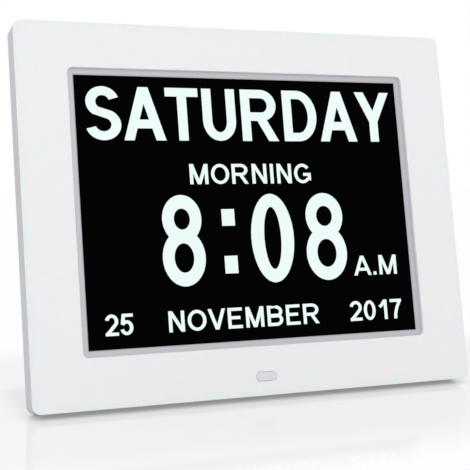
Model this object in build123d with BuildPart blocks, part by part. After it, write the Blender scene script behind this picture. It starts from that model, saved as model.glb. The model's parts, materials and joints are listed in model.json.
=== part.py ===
from build123d import *

import os
from math import atan2, cos, degrees, radians, sin, tan

# Desk day clock: an 8 inch display in a white fascia and a silver-grey frame, standing on its lower
# rear edge and on a hinged leg. Millimetres, +Z up, the face looks towards -Y and leans back.
# The origin is on the table, under the middle of the whole clock.
#
# Places on the clock are given as x (to the right, seen from the front), up (along the face, from
# its centre) and depth (square to the face, backwards from its front surface).

# ---------------------------------------------------------------- driving dimensions
# Opening in front of the screen, the silver band round it and the white border round the band
SCREEN_WIDTH = 163.6
SCREEN_HEIGHT = 123.6
LIP_BAND = 2.9
BORDER_SIDE = 23.3
BORDER_TOP = 21.0
BORDER_BOTTOM = 22.6
CASE_CORNER = 4.0
EDGE_ROUND = 0.8
LEAN = 11.5

# White fascia plate and the tape that holds it
FASCIA_THICKNESS = 1.8
FASCIA_EDGE = 0.4
FASCIA_FLANGE = 0.6
FASCIA_STEP = 1.8
FASCIA_STEP_GAP = 0.1
WINDOW_CORNER = 2.4
WINDOW_EDGE = 0.25
TAPE_THICKNESS = 0.15
TAPE_INSET = 3.0

# Silver-grey frame
RIM_WALL = 2.2
LEDGE_WIDTH = 1.2
WEB_THICKNESS = 2.0
LIP_THICKNESS = 0.6
LIP_CHAMFER = 0.45

# Display module
MODULE_BORDER_SIDE = 9.7
MODULE_BORDER_END = 8.7
MODULE_GAP = 0.2
BEZEL_SHEET = 0.3
BEZEL_MARGIN = 0.3
GLASS_THICKNESS = 0.6
GLASS_BORDER_SIDE = 5.2
GLASS_BORDER_END = 4.2
GLASS_LEDGE = 4.0
FILM_THICKNESS = 0.2
FILM_COUNT = 3
GUIDE_THICKNESS = 2.75
REFLECTOR_THICKNESS = 0.2
BACK_SHEET = 0.5
LAYER_INSET = 1.5
LAYER_GAP = 0.05
DRIVER_CHIP = (14.0, 1.4, 0.4)
DRIVER_CHIP_PITCH = 43.5
DRIVER_CHIP_COUNT = 3
LED_SIZE = (2.6, 0.8, 1.2)
LED_PITCH = 6.2
LED_BOARD = 0.4
LED_BOARD_END = 1.0
LED_FROM_BACK = 0.6
LED_GUIDE_GAP = 0.5
CLAMP_OVERLAP = 4.0
CLAMP_END = 3.5
CLAMP_UP = 35.0
CLAMP_WIDTH = 9.0
CLAMP_THICKNESS = 1.0
CLAMP_CORNER = 1.5

# Remote sensor below the display
SENSOR_WIDTH = 10.0
SENSOR_HEIGHT = 4.0
SENSOR_FROM_BOTTOM = 8.7
SENSOR_PROUD = 0.3
SENSOR_GAP = 0.12
SENSOR_FLANGE = 1.2
RECEIVER_SIZE = 5.6
RECEIVER_DOME = 2.0
RECEIVER_DOME_INSET = 0.6
RECEIVER_DOME_ROUND = 1.2
RECEIVER_GAP = 0.3
SENSOR_BOARD_WIDTH = 24.0
SENSOR_BOARD_HEIGHT = 8.0
SENSOR_BOARD_THICKNESS = 1.0
SENSOR_POST_INSET = 2.5
SENSOR_POST_WALL = 1.2

# Rear cover and its raised housing
COVER_THICKNESS = 2.0
COVER_GAP = 0.2
COVER_SPACE = 0.15
COVER_BOSS_DIAMETER = 7.0
HOUSING_SIDE = 20.0
HOUSING_END = 24.5
HOUSING_CORNER = 8.0
HOUSING_DRAFT = 2.0
HOUSING_EDGE = 1.5
KEYHOLE_SPACING = 120.0
KEYHOLE_UP = 48.0
KEYHOLE_HEAD = 8.5
KEYHOLE_SLOT = 4.3
KEYHOLE_TRAVEL = 6.0
VENT_WIDTH = 26.0
VENT_HEIGHT = 1.8
VENT_PITCH = 4.5
VENT_COUNT = 8
VENT_UP = 14.0
LABEL_WIDTH = 42.0
LABEL_HEIGHT = 24.0
LABEL_CORNER = 1.5
LABEL_DEPTH = 0.4
LABEL_UP = -38.0
GRILLE_HOLE = 1.8
GRILLE_PITCH = 3.4
GRILLE_RINGS = 3

# Stand leg
HINGE_UP = 30.0
PIN_DIAMETER = 3.0
PIN_EDGE = 0.3
PIN_SEAT_GAP = 0.05
PIN_RUNNING_GAP = 0.05
LEG_WIDTH = 48.0
LEG_FOOT_WIDTH = 42.0
LEG_PLATE = 2.6
LEG_OUTER = 3.1
LEG_INNER = 3.7
LEG_SINK = 0.4
LEG_SIDE_GAP = 1.0
LEG_FLOOR_GAP = 0.4
LEG_TOP_GAP = 2.5
LEG_RIB = 1.8
CROSS_RIB_COUNT = 3
BARREL_RADIUS = 3.0
STOP_GAP = 0.05
STAND_REACH = 52.0
FOOT_HEIGHT = 12.0
FOOT_INNER = 4.9
HEEL_LENGTH = 6.0
GRIP_WIDTH = 26.0
GRIP_HEIGHT = 9.0
GRIP_DEPTH = 0.8
GRIP_ABOVE_FOOT = 4.0
PAD_THICKNESS = 2.0
PAD_MARGIN = 0.2
PAD_EDGE = 0.5
PAD_TENON = 2.5
PAD_TENON_WIDTH = 3.0
PAD_GAP = 0.05
WASHER_THICKNESS = 0.6

# Keys on the back
KEY_DIAMETER = 8.4
KEY_GAP = 0.3
KEY_PROUD = 1.2
KEY_EDGE = 0.6
KEY_TRAVEL = 0.5
KEY_FLANGE = 1.0
KEY_FLANGE_THICKNESS = 0.9
KEY_NUB = 0.25
KEY_PITCH = 11.0
KEY_ROW_PITCH = 14.0
KEY_PAD_UP = 8.0
KEY_ROW_UP = 34.0
KEY_PLAY = 0.05
MARK_HEIGHT = 0.25
MARK_LINE = 0.5
MARK_RADIUS = 1.9
MARK_PITCH = 1.2
SWITCH_SIZE = 6.0
SWITCH_HEIGHT = 3.3
PLUNGER_HEIGHT = 1.0
PLUNGER_DIAMETER = 3.5

# Circuit boards
BOARD_THICKNESS = 1.6
BOARD_SPACE = 5.5
BOARD_CORNER = 1.0
BOARD_HOLE_INSET = 4.0
BOSS_DIAMETER = 6.0
MAIN_BOARD_WIDTH = 52.0
MAIN_BOARD_HEIGHT = 90.0
MAIN_BOARD_MARGIN = 5.0
MAIN_BOARD_GAP = 0.5
KEY_BOARD_WIDTH = 44.0
KEY_BOARD_HEIGHT = 58.0
KEY_BOARD_MARGIN = 8.0
KEY_BOARD_UP = 20.0

# What the main board carries. Places are x and up from the middle of the board, except that the
# capacitors and the inductor give x and how far they lie below its upper edge, and the coin cell
# gives x and how far it lies above its lower edge.
PROCESSOR_PLACE = (-13.0, 10.0)
PROCESSOR_SIZE = 14.0
PROCESSOR_HEIGHT = 1.4
LEAD_PITCH = 0.8
LEAD_WIDTH = 0.4
LEAD_HEIGHT = 0.5
LEAD_REACH = 1.0
LEAD_COUNT = 16
MEMORY_PLACE = (-11.0, -7.0)
MEMORY_SIZE = (6.0, 10.0, 1.2)
MEMORY_PITCH = 10.0
CAPACITOR_PLACE = (-3.0, 8.0)
CAPACITOR_DIAMETER = 6.3
CAPACITOR_HEIGHT = 5.4
CAPACITOR_PITCH = 8.0
CAPACITOR_COUNT = 3
INDUCTOR_PLACE = (5.0, 18.0)
INDUCTOR_SIZE = 7.0
INDUCTOR_HEIGHT = 3.0
INDUCTOR_CORNER = 1.5
CRYSTAL_PLACE = (3.0, 14.0)
CRYSTAL_SIZE = (11.0, 4.5, 3.5)
CRYSTAL_EDGE = 0.8
CELL_PLACE = (-13.0, 19.0)
CELL_DIAMETER = 20.0
CELL_THICKNESS = 3.2
CELL_EDGE = 0.6
HOLDER_WALL = 0.4
HOLDER_FLOOR = 1.0
HOLDER_RIM = 0.6
CELL_GAP = 0.1
SPRING_WIDTH = 5.0
SPRING_THICKNESS = 0.4

# Sockets on the side of the housing
PORT_SETBACK = 2.6
PORT_MARGIN = 0.4
JACK_BELOW_EDGE = 17.0
JACK_WIDTH = 9.0
JACK_HEIGHT = 8.6
JACK_LENGTH = 14.0
JACK_NOSE = 2.4
JACK_BORE = 6.3
JACK_PIN = 2.0
JACK_BACK_WALL = 3.0
JACK_SPACE = 0.3
STICK_UP = 7.0
STICK_WIDTH = 13.2
STICK_HEIGHT = 5.8
STICK_LENGTH = 14.0
STICK_SHELL = 0.4
STICK_BACK_WALL = 2.0
TONGUE_WIDTH = 10.8
TONGUE_THICKNESS = 1.8
TONGUE_OFFSET = 0.8
CARD_BOSS_GAP = 0.5
CARD_WIDTH = 28.0
CARD_HEIGHT = 3.0
CARD_LENGTH = 27.0
CARD_SHELL = 0.35
CARD_SIDE_WALL = 1.5
CARD_BACK_WALL = 2.0

# Cables and their connectors. The points of a cable are distances from its plug or its terminal.
FLEX_WIDTH = 24.0
FLEX_THICKNESS = 0.2
FLEX_FROM_EDGE = 17.0
FLEX_POINTS = (34.0, 18.0, 10.0)
FLEX_RADIUS = 4.0
RIBBON_UP = 26.0
RIBBON_WIDTH = 10.0
RIBBON_THICKNESS = 0.3
RIBBON_INSET = 2.0
WIRE_DIAMETER = 0.9
WIRE_GAP = 0.1
CONNECTOR_LENGTH = 5.0
CONNECTOR_HEIGHT = 1.6
CONNECTOR_MARGIN = 1.5
PLUG_LENGTH = 4.0
PLUG_COVER = 0.3
SENSOR_PLUG_X = 3.0
SENSOR_PLUG_RISE = 1.0
SENSOR_PLUG_FROM_EDGE = 5.0
SENSOR_PLUG_FROM_FLEX = 4.0
SENSOR_WIRE_POINTS = (11.0, 10.0)
SENSOR_WIRE_RADIUS = 5.0
SPEAKER_PLUG_HEIGHT = 2.0
SPEAKER_PLUG_GAP = 0.9
SPEAKER_WIRE_POINTS = (8.0, 16.0)
SPEAKER_WIRE_RADIUS = 4.0
SPEAKER_WIRE_START = 1.0

# Speaker
SPEAKER_DIAMETER = 28.0
SPEAKER_UP = -36.0
SPEAKER_RIM = 1.5
SPEAKER_BASKET = 3.5
SPEAKER_GAP = 0.05
SPEAKER_WALL = 0.8
SPEAKER_RIM_WIDTH = 1.8
RING_WALL = 1.2
RING_EXTRA = 1.0
CONE_SINK = 0.6
CONE_INSET = 2.8
CONE_WALL = 0.5
CONE_ABOVE_BASKET = 1.1
MAGNET_DIAMETER = 14.0
MAGNET_HEIGHT = 3.0
MAGNET_SEAT = 1.5

# Fasteners: shank radius, head radius, head height, length under the head. The cross recess is
# given as shares of the head's radius (arm length and width) and of its height (depth).
COVER_SCREW = (1.3, 2.5, 1.25, 8.0)
BOARD_SCREW = (1.0, 1.9, 1.3, 6.0)
CROSS_RECESS = (1.1, 0.26, 0.55)
THREAD_GAP = 0.05
HOLE_GAP = 0.1

# ---------------------------------------------------------------- derived sizes and places
lean = radians(LEAN)
window_width = SCREEN_WIDTH + 2 * LIP_BAND
window_height = SCREEN_HEIGHT + 2 * LIP_BAND
window_rise = (BORDER_BOTTOM - BORDER_TOP) / 2
case_width = window_width + 2 * BORDER_SIDE
case_height = window_height + BORDER_TOP + BORDER_BOTTOM
half_height = case_height / 2
sensor_up = -half_height + SENSOR_FROM_BOTTOM

module_width = SCREEN_WIDTH + 2 * MODULE_BORDER_SIDE
module_height = SCREEN_HEIGHT + 2 * MODULE_BORDER_END
glass_width = SCREEN_WIDTH + 2 * GLASS_BORDER_SIDE
glass_height = SCREEN_HEIGHT + 2 * GLASS_BORDER_END

# The stack of the display, from the front surface backwards
frame_front = FASCIA_THICKNESS
web_back = frame_front + WEB_THICKNESS
module_front = frame_front + LIP_THICKNESS
cell_front = module_front + BEZEL_SHEET
films_front = cell_front + 2 * GLASS_THICKNESS + LAYER_GAP
guide_front = films_front + FILM_COUNT * FILM_THICKNESS
reflector_front = guide_front + GUIDE_THICKNESS
back_sheet_front = reflector_front + REFLECTOR_THICKNESS
module_back = back_sheet_front + BACK_SHEET

# The stack of the remote sensor; the deeper of the two sets how far back the cover lies.
sensor_board_front = web_back + RECEIVER_SIZE + RECEIVER_GAP
sensor_seat = sensor_board_front + SENSOR_BOARD_THICKNESS
wire_depth = sensor_seat + WIRE_DIAMETER
sensor_plug_back = wire_depth + WIRE_DIAMETER / 2 + PLUG_COVER
clamp_seat = module_back + CLAMP_THICKNESS
cover_front = max(clamp_seat + BOARD_SCREW[2], sensor_seat + BOARD_SCREW[2], sensor_plug_back) + COVER_SPACE
cover_back = cover_front + COVER_THICKNESS

# The stack of the main board and its tallest piece sets the depth of the housing.
main_board_front = module_back + BOARD_SPACE
main_board_back = main_board_front + BOARD_THICKNESS
housing_inner = main_board_back + JACK_HEIGHT + JACK_SPACE
housing_depth = housing_inner + COVER_THICKNESS
housing_height = case_height - 2 * HOUSING_END

# The clock rests on the rounded lower rear edge of the frame, which touches the table at z = 0.
centre_z = (half_height - EDGE_ROUND) * cos(lean) + (cover_back - EDGE_ROUND) * sin(lean) + EDGE_ROUND
rest_edge_y = -(half_height - EDGE_ROUND) * sin(lean) + (cover_back - EDGE_ROUND) * cos(lean)

# Hinge and leg; the open leg reaches the table STAND_REACH behind the resting edge.
hinge_depth = housing_depth - LEG_SINK - LEG_OUTER
hinge_y_from_centre = HINGE_UP * sin(lean) + hinge_depth * cos(lean)
hinge_z = centre_z + HINGE_UP * cos(lean) - hinge_depth * sin(lean)
foot_y_from_centre = rest_edge_y + STAND_REACH
leg_tilt = atan2(foot_y_from_centre - hinge_y_from_centre, hinge_z)
leg_length = hinge_z / cos(leg_tilt)
stand_angle = leg_tilt + lean
pocket_floor = hinge_depth - LEG_INNER - LEG_FLOOR_GAP

# The stop: the leg's square heel meets the floor of its pocket when the leg is fully open.
heel = (hinge_depth - pocket_floor - STOP_GAP - BARREL_RADIUS * cos(stand_angle)) / sin(stand_angle)
heel_reach = (heel**2 + BARREL_RADIUS**2) ** 0.5

# The lower front edge of the face and the rear edge of the leg's foot are the furthest points along Y.
front_y = (-half_height + FASCIA_EDGE) * sin(lean) + FASCIA_EDGE * cos(lean) - FASCIA_EDGE
foot_rear_y = foot_y_from_centre + LEG_OUTER / cos(leg_tilt) - PAD_THICKNESS * tan(leg_tilt)
centre_y = -(front_y + foot_rear_y) / 2
hinge_y = centre_y + hinge_y_from_centre

# Pocket of the leg, the walls round it and the cables that pass in front of them
pocket_width = LEG_WIDTH + 2 * LEG_SIDE_GAP
pocket_top = HINGE_UP + heel_reach + LEG_TOP_GAP
tub_width = pocket_width + 2 * COVER_THICKNESS
tub_top = pocket_top + COVER_THICKNESS
tub_front = pocket_floor - COVER_THICKNESS

# The housing leaves a margin to the edge of the case, and is never narrower than its boards and tub.
board_room = MAIN_BOARD_GAP + MAIN_BOARD_WIDTH + MAIN_BOARD_MARGIN
housing_width = max(case_width - 2 * HOUSING_SIDE, tub_width + 2 * board_room)
main_board_x = housing_width / 2 - MAIN_BOARD_MARGIN - MAIN_BOARD_WIDTH / 2
key_board_x = -(housing_width / 2 - KEY_BOARD_MARGIN - KEY_BOARD_WIDTH / 2)
port_mouth_x = housing_width / 2 - PORT_SETBACK
ribbon_depth = tub_front - WIRE_GAP - RIBBON_THICKNESS / 2
speaker_wire_depth = tub_front - WIRE_GAP - WIRE_DIAMETER / 2


def panel(depth, x=0.0, up=0.0):
    """Plane parallel to the face at a depth behind it, facing the front of the clock."""
    y = centre_y + up * sin(lean) + depth * cos(lean)
    z = centre_z + up * cos(lean) - depth * sin(lean)
    return Plane(origin=(x, y, z), x_dir=(1, 0, 0), z_dir=(0, -cos(lean), sin(lean)))


def rear(depth, x=0.0, up=0.0):
    """Plane parallel to the face at a place behind it, facing the back of the clock."""
    return Plane(origin=panel(depth, x, up).origin, x_dir=(1, 0, 0), z_dir=(0, cos(lean), -sin(lean)))


def level(up):
    """Plane square to the height of the face, whose own axes are x and depth."""
    return Plane(origin=panel(0, 0, up).origin, x_dir=(1, 0, 0), z_dir=(0, sin(lean), cos(lean)))


def side(x):
    """Plane square to the width at x, whose own axes are depth and up; it faces +X."""
    return Plane(origin=(x, centre_y, centre_z), x_dir=(0, cos(lean), -sin(lean)), z_dir=(1, 0, 0))


def leg_face(out):
    """Plane along the open leg, at a distance behind the hinge axis, facing the front."""
    normal = (0, cos(leg_tilt), sin(leg_tilt))
    origin = (0, hinge_y + out * normal[1], hinge_z + out * normal[2])
    return Plane(origin=origin, x_dir=(1, 0, 0), z_dir=(0, -normal[1], -normal[2]))


def leg_side(x):
    """Plane square to the hinge axis at x, whose own axes are out and up the open leg."""
    return Plane(origin=(x, hinge_y, hinge_z), x_dir=(0, cos(leg_tilt), sin(leg_tilt)), z_dir=(1, 0, 0))


def mirrored(x, up):
    """The four places at plus and minus x and up."""
    return [(sx * x, su * up) for sx in (-1, 1) for su in (-1, 1)]


def frontmost(part):
    """The face of a part that lies furthest to the front of the clock."""
    return part.faces().sort_by(Axis(panel(0).origin, panel(0).z_dir))[-1]


def rearmost(part):
    """The face of a part that lies furthest to the back of the clock."""
    return part.faces().sort_by(Axis(panel(0).origin, panel(0).z_dir))[0]


# ---------------------------------------------------------------- front fascia
def rim_outline(width):
    """Ring of a width along the outer edge of the case."""
    RectangleRounded(case_width, case_height, CASE_CORNER)
    RectangleRounded(
        case_width - 2 * width, case_height - 2 * width, CASE_CORNER - width, mode=Mode.SUBTRACT
    )


with BuildPart() as front_fascia:
    with BuildSketch(panel(FASCIA_THICKNESS)):
        RectangleRounded(case_width, case_height, CASE_CORNER)
    extrude(amount=FASCIA_THICKNESS)
    fillet(frontmost(front_fascia).edges(), FASCIA_EDGE)
    # its edge is thinner, and lies on the raised rim of the frame
    with BuildSketch(panel(FASCIA_THICKNESS)):
        rim_outline(FASCIA_STEP)
    extrude(amount=FASCIA_THICKNESS - FASCIA_FLANGE, mode=Mode.SUBTRACT)
    with BuildSketch(panel(FASCIA_THICKNESS, up=window_rise)):
        RectangleRounded(window_width, window_height, WINDOW_CORNER)
    extrude(amount=FASCIA_THICKNESS, mode=Mode.SUBTRACT)
    chamfer(frontmost(front_fascia).inner_wires()[0].edges(), WINDOW_EDGE)
    with BuildSketch(panel(FASCIA_THICKNESS, up=sensor_up)):
        SlotOverall(SENSOR_WIDTH + 2 * SENSOR_GAP, SENSOR_HEIGHT + 2 * SENSOR_GAP)
    extrude(amount=FASCIA_THICKNESS, mode=Mode.SUBTRACT)

# Double-sided tape ring that holds the fascia, in a shallow pocket of the frame
tape_width = case_width - 2 * TAPE_INSET
tape_height = case_height - 2 * TAPE_INSET
tape_window_width = window_width + 2 * TAPE_INSET
tape_window_height = window_height + 2 * TAPE_INSET


def tape_outline():
    """Ring between the outer edge and the window, with room left round the sensor."""
    RectangleRounded(tape_width, tape_height, WINDOW_CORNER)
    with Locations((0, window_rise)):
        RectangleRounded(tape_window_width, tape_window_height, WINDOW_CORNER, mode=Mode.SUBTRACT)
    with Locations((0, sensor_up)):
        SlotOverall(SENSOR_WIDTH + 2 * TAPE_INSET, SENSOR_HEIGHT + TAPE_INSET, mode=Mode.SUBTRACT)


with BuildPart() as fascia_tape:
    with BuildSketch(panel(frame_front + TAPE_THICKNESS)):
        tape_outline()
    extrude(amount=TAPE_THICKNESS)

# ---------------------------------------------------------------- silver-grey frame
ledge_wall = RIM_WALL + LEDGE_WIDTH
cover_width = case_width - 2 * (RIM_WALL + COVER_GAP)
cover_height = case_height - 2 * (RIM_WALL + COVER_GAP)
cover_corner = CASE_CORNER - RIM_WALL

# The screws stand midway between the display module, or the housing, and the wall of the frame.
inner_x = max(module_width / 2 + MODULE_GAP, housing_width / 2)
inner_up = max(module_height / 2 + window_rise + MODULE_GAP, housing_height / 2)
screw_x = (inner_x + case_width / 2 - ledge_wall) / 2
screw_up = (inner_up + half_height - ledge_wall) / 2
cover_screw_places = mirrored(screw_x, screw_up) + [(-screw_x, 0), (screw_x, 0)]
clamp_places = mirrored(screw_x, CLAMP_UP)
sensor_post_x = SENSOR_BOARD_WIDTH / 2 - SENSOR_POST_INSET
sensor_posts = [(-sensor_post_x, 0), (sensor_post_x, 0)]

with BuildPart() as mid_frame:
    with BuildSketch(panel(cover_back)):
        RectangleRounded(case_width, case_height, CASE_CORNER)
    extrude(amount=cover_back - frame_front)
    fillet(rearmost(mid_frame).edges(), EDGE_ROUND)
    # seat of the rear cover, then the hollow in front of it
    with BuildSketch(panel(cover_back)):
        RectangleRounded(cover_width + 2 * COVER_GAP, cover_height + 2 * COVER_GAP, cover_corner)
    extrude(amount=COVER_THICKNESS, mode=Mode.SUBTRACT)
    with BuildSketch(panel(cover_front)):
        Rectangle(case_width - 2 * ledge_wall, case_height - 2 * ledge_wall)
    extrude(amount=cover_front - web_back, mode=Mode.SUBTRACT)
    # bosses for the cover screws and the display clamps, and two posts for the sensor board
    with BuildSketch(panel(cover_front)):
        with Locations(*cover_screw_places):
            Circle(COVER_BOSS_DIAMETER / 2)
    extrude(amount=cover_front - web_back)
    with BuildSketch(panel(module_back)):
        with Locations(*clamp_places):
            Circle(BOSS_DIAMETER / 2)
    extrude(amount=module_back - web_back)
    with BuildSketch(panel(sensor_board_front, up=sensor_up)):
        with Locations(*sensor_posts):
            Circle(BOARD_SCREW[0] + SENSOR_POST_WALL)
    extrude(amount=sensor_board_front - web_back)
    # pocket of the display module and the opening in front of the screen
    with BuildSketch(panel(web_back, up=window_rise)):
        Rectangle(module_width + 2 * MODULE_GAP, module_height + 2 * MODULE_GAP)
    extrude(amount=WEB_THICKNESS - LIP_THICKNESS, mode=Mode.SUBTRACT)
    with BuildSketch(panel(module_front, up=window_rise)):
        Rectangle(SCREEN_WIDTH, SCREEN_HEIGHT)
    extrude(amount=LIP_THICKNESS, mode=Mode.SUBTRACT)
    chamfer(frontmost(mid_frame).inner_wires()[0].edges(), LIP_CHAMFER)
    # pocket of the tape, and the hole of the sensor window
    with BuildSketch(panel(frame_front + TAPE_THICKNESS)):
        tape_outline()
    extrude(amount=TAPE_THICKNESS, mode=Mode.SUBTRACT)
    with BuildSketch(panel(web_back, up=sensor_up)):
        SlotOverall(SENSOR_WIDTH + 2 * SENSOR_FLANGE, SENSOR_HEIGHT + 2 * SENSOR_FLANGE)
    extrude(amount=WEB_THICKNESS, mode=Mode.SUBTRACT)
    # pilot holes of the screws
    with BuildSketch(panel(cover_front)):
        with Locations(*cover_screw_places):
            Circle(COVER_SCREW[0] + THREAD_GAP)
    extrude(amount=COVER_SCREW[3], mode=Mode.SUBTRACT)
    with BuildSketch(panel(module_back)):
        with Locations(*clamp_places):
            Circle(BOARD_SCREW[0] + THREAD_GAP)
    extrude(amount=BOARD_SCREW[3] - CLAMP_THICKNESS + THREAD_GAP, mode=Mode.SUBTRACT)
    with BuildSketch(panel(sensor_board_front, up=sensor_up)):
        with Locations(*sensor_posts):
            Circle(BOARD_SCREW[0] + THREAD_GAP)
    extrude(amount=BOARD_SCREW[3] - SENSOR_BOARD_THICKNESS + THREAD_GAP, mode=Mode.SUBTRACT)
    # rim that rises round the fascia, up to its thin edge
    with BuildSketch(panel(frame_front)):
        rim_outline(FASCIA_STEP - FASCIA_STEP_GAP)
    extrude(amount=frame_front - FASCIA_FLANGE)

# ---------------------------------------------------------------- sensor window and receiver
sensor_flange = SENSOR_FLANGE - SENSOR_GAP
with BuildPart() as sensor_window:
    with BuildSketch(panel(web_back, up=sensor_up)):
        SlotOverall(SENSOR_WIDTH + 2 * sensor_flange, SENSOR_HEIGHT + 2 * sensor_flange)
    extrude(amount=WEB_THICKNESS)
    with BuildSketch(panel(frame_front, up=sensor_up)):
        SlotOverall(SENSOR_WIDTH, SENSOR_HEIGHT)
    extrude(amount=FASCIA_THICKNESS + SENSOR_PROUD)
    fillet(frontmost(sensor_window).edges(), SENSOR_PROUD)

with BuildPart() as infrared_receiver:
    with BuildSketch(panel(sensor_board_front, up=sensor_up)):
        Rectangle(RECEIVER_SIZE, RECEIVER_SIZE)
    extrude(amount=RECEIVER_SIZE - RECEIVER_DOME)
    with BuildSketch(panel(sensor_board_front - RECEIVER_SIZE + RECEIVER_DOME, up=sensor_up)):
        Circle(RECEIVER_SIZE / 2 - RECEIVER_DOME_INSET)
    extrude(amount=RECEIVER_DOME)
    fillet(frontmost(infrared_receiver).edges(), RECEIVER_DOME_ROUND)

with BuildPart() as sensor_board:
    with BuildSketch(panel(sensor_board_front + SENSOR_BOARD_THICKNESS, up=sensor_up)):
        Rectangle(SENSOR_BOARD_WIDTH, SENSOR_BOARD_HEIGHT)
        with Locations(*sensor_posts):
            Circle(BOARD_SCREW[0] + HOLE_GAP, mode=Mode.SUBTRACT)
    extrude(amount=SENSOR_BOARD_THICKNESS)

# ---------------------------------------------------------------- display module, front to back
mould_width = module_width - 2 * BEZEL_SHEET - 2 * LAYER_GAP
mould_height = module_height - 2 * BEZEL_SHEET - 2 * LAYER_GAP
layer_width = glass_width - 2 * LAYER_INSET
layer_height = glass_height - 2 * LAYER_INSET - GLASS_LEDGE
layer_up = window_rise + GLASS_LEDGE / 2

# The light strip lies under the light guide, in a room of its own in the mould frame.
guide_drop = LED_SIZE[1] + LED_GUIDE_GAP
led_count = int((layer_width - 2 * LED_BOARD_END - LED_SIZE[0]) / LED_PITCH) + 1
strip_up = layer_up - layer_height / 2 + guide_drop - LED_GUIDE_GAP - LED_SIZE[1] - LED_BOARD / 2
strip_room = 2 * (LED_BOARD + LED_SIZE[1])

with BuildPart() as display_bezel:
    with BuildSketch(panel(module_front + BEZEL_SHEET, up=window_rise)):
        Rectangle(module_width, module_height)
        Rectangle(SCREEN_WIDTH + 2 * BEZEL_MARGIN, SCREEN_HEIGHT + 2 * BEZEL_MARGIN, mode=Mode.SUBTRACT)
    extrude(amount=BEZEL_SHEET)
    with BuildSketch(panel(back_sheet_front, up=window_rise)):
        Rectangle(module_width, module_height)
        Rectangle(module_width - 2 * BEZEL_SHEET, module_height - 2 * BEZEL_SHEET, mode=Mode.SUBTRACT)
    extrude(amount=back_sheet_front - module_front)

# The front glass is shorter than the rear one, whose lower ledge carries the driver chips.
with BuildPart() as front_glass:
    with BuildSketch(panel(cell_front + GLASS_THICKNESS, up=layer_up)):
        Rectangle(glass_width, glass_height - GLASS_LEDGE)
    extrude(amount=GLASS_THICKNESS)

with BuildPart() as rear_glass:
    with BuildSketch(panel(cell_front + 2 * GLASS_THICKNESS, up=window_rise)):
        Rectangle(glass_width, glass_height)
    extrude(amount=GLASS_THICKNESS)

ledge_up = window_rise - (glass_height - GLASS_LEDGE) / 2
with BuildPart() as driver_chips:
    with BuildSketch(panel(cell_front + GLASS_THICKNESS, up=ledge_up)):
        with GridLocations(DRIVER_CHIP_PITCH, 0, DRIVER_CHIP_COUNT, 1):
            Rectangle(DRIVER_CHIP[0], DRIVER_CHIP[1])
    extrude(amount=DRIVER_CHIP[2])

with BuildPart() as mould_frame:
    with BuildSketch(panel(back_sheet_front, up=window_rise)):
        Rectangle(mould_width, mould_height)
    extrude(amount=back_sheet_front - cell_front)
    with BuildSketch(panel(films_front - LAYER_GAP, up=window_rise)):
        Rectangle(glass_width + 2 * MODULE_GAP, glass_height + 2 * MODULE_GAP)
    extrude(amount=films_front - cell_front, mode=Mode.SUBTRACT)
    with BuildSketch(panel(back_sheet_front, up=layer_up)):
        Rectangle(layer_width + 2 * MODULE_GAP, layer_height + 2 * MODULE_GAP)
    extrude(amount=back_sheet_front - films_front + LAYER_GAP, mode=Mode.SUBTRACT)
    with BuildSketch(panel(back_sheet_front, up=strip_up)):
        Rectangle(layer_width, strip_room)
    extrude(amount=back_sheet_front - guide_front, mode=Mode.SUBTRACT)

with BuildPart() as optical_films:
    for number in range(FILM_COUNT):
        film_back = films_front + (number + 1) * FILM_THICKNESS - LAYER_GAP / 2
        with BuildSketch(panel(film_back, up=layer_up)):
            Rectangle(layer_width, layer_height)
        extrude(amount=FILM_THICKNESS - LAYER_GAP)

with BuildPart() as light_guide:
    with BuildSketch(panel(reflector_front, up=layer_up + guide_drop / 2)):
        Rectangle(layer_width, layer_height - guide_drop)
    extrude(amount=reflector_front - guide_front)

with BuildPart() as reflector_sheet:
    with BuildSketch(panel(back_sheet_front, up=layer_up)):
        Rectangle(layer_width, layer_height)
    extrude(amount=REFLECTOR_THICKNESS)

with BuildPart() as led_strip:
    with BuildSketch(panel(reflector_front, up=strip_up)):
        Rectangle(layer_width - 2 * LED_BOARD_END, LED_BOARD)
    extrude(amount=GUIDE_THICKNESS - LED_BOARD)
    with BuildSketch(panel(reflector_front - LED_FROM_BACK, up=strip_up + (LED_BOARD + LED_SIZE[1]) / 2)):
        with GridLocations(LED_PITCH, 0, led_count, 1):
            Rectangle(LED_SIZE[0], LED_SIZE[1])
    extrude(amount=LED_SIZE[2])

with BuildPart() as module_back_plate:
    with BuildSketch(panel(module_back, up=window_rise)):
        Rectangle(module_width, module_height)
    extrude(amount=BACK_SHEET)

# Clamps that press the module into its pocket
clamp_start = module_width / 2 - CLAMP_OVERLAP
clamp_length = screw_x + CLAMP_END - clamp_start
with BuildPart() as display_clamps:
    with BuildSketch(panel(clamp_seat)):
        with Locations(*mirrored(clamp_start + clamp_length / 2, CLAMP_UP)):
            RectangleRounded(clamp_length, CLAMP_WIDTH, CLAMP_CORNER)
        with Locations(*clamp_places):
            Circle(BOARD_SCREW[0] + HOLE_GAP, mode=Mode.SUBTRACT)
    extrude(amount=CLAMP_THICKNESS)

# ---------------------------------------------------------------- rear cover
key_flange_back = housing_inner - KEY_PLAY
key_flange_front = key_flange_back - KEY_FLANGE_THICKNESS
key_nub_end = key_flange_front - KEY_NUB
plunger_top = key_nub_end - KEY_TRAVEL - KEY_PLAY
key_board_back = plunger_top - PLUNGER_HEIGHT - SWITCH_HEIGHT
key_board_front = key_board_back - BOARD_THICKNESS

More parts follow.
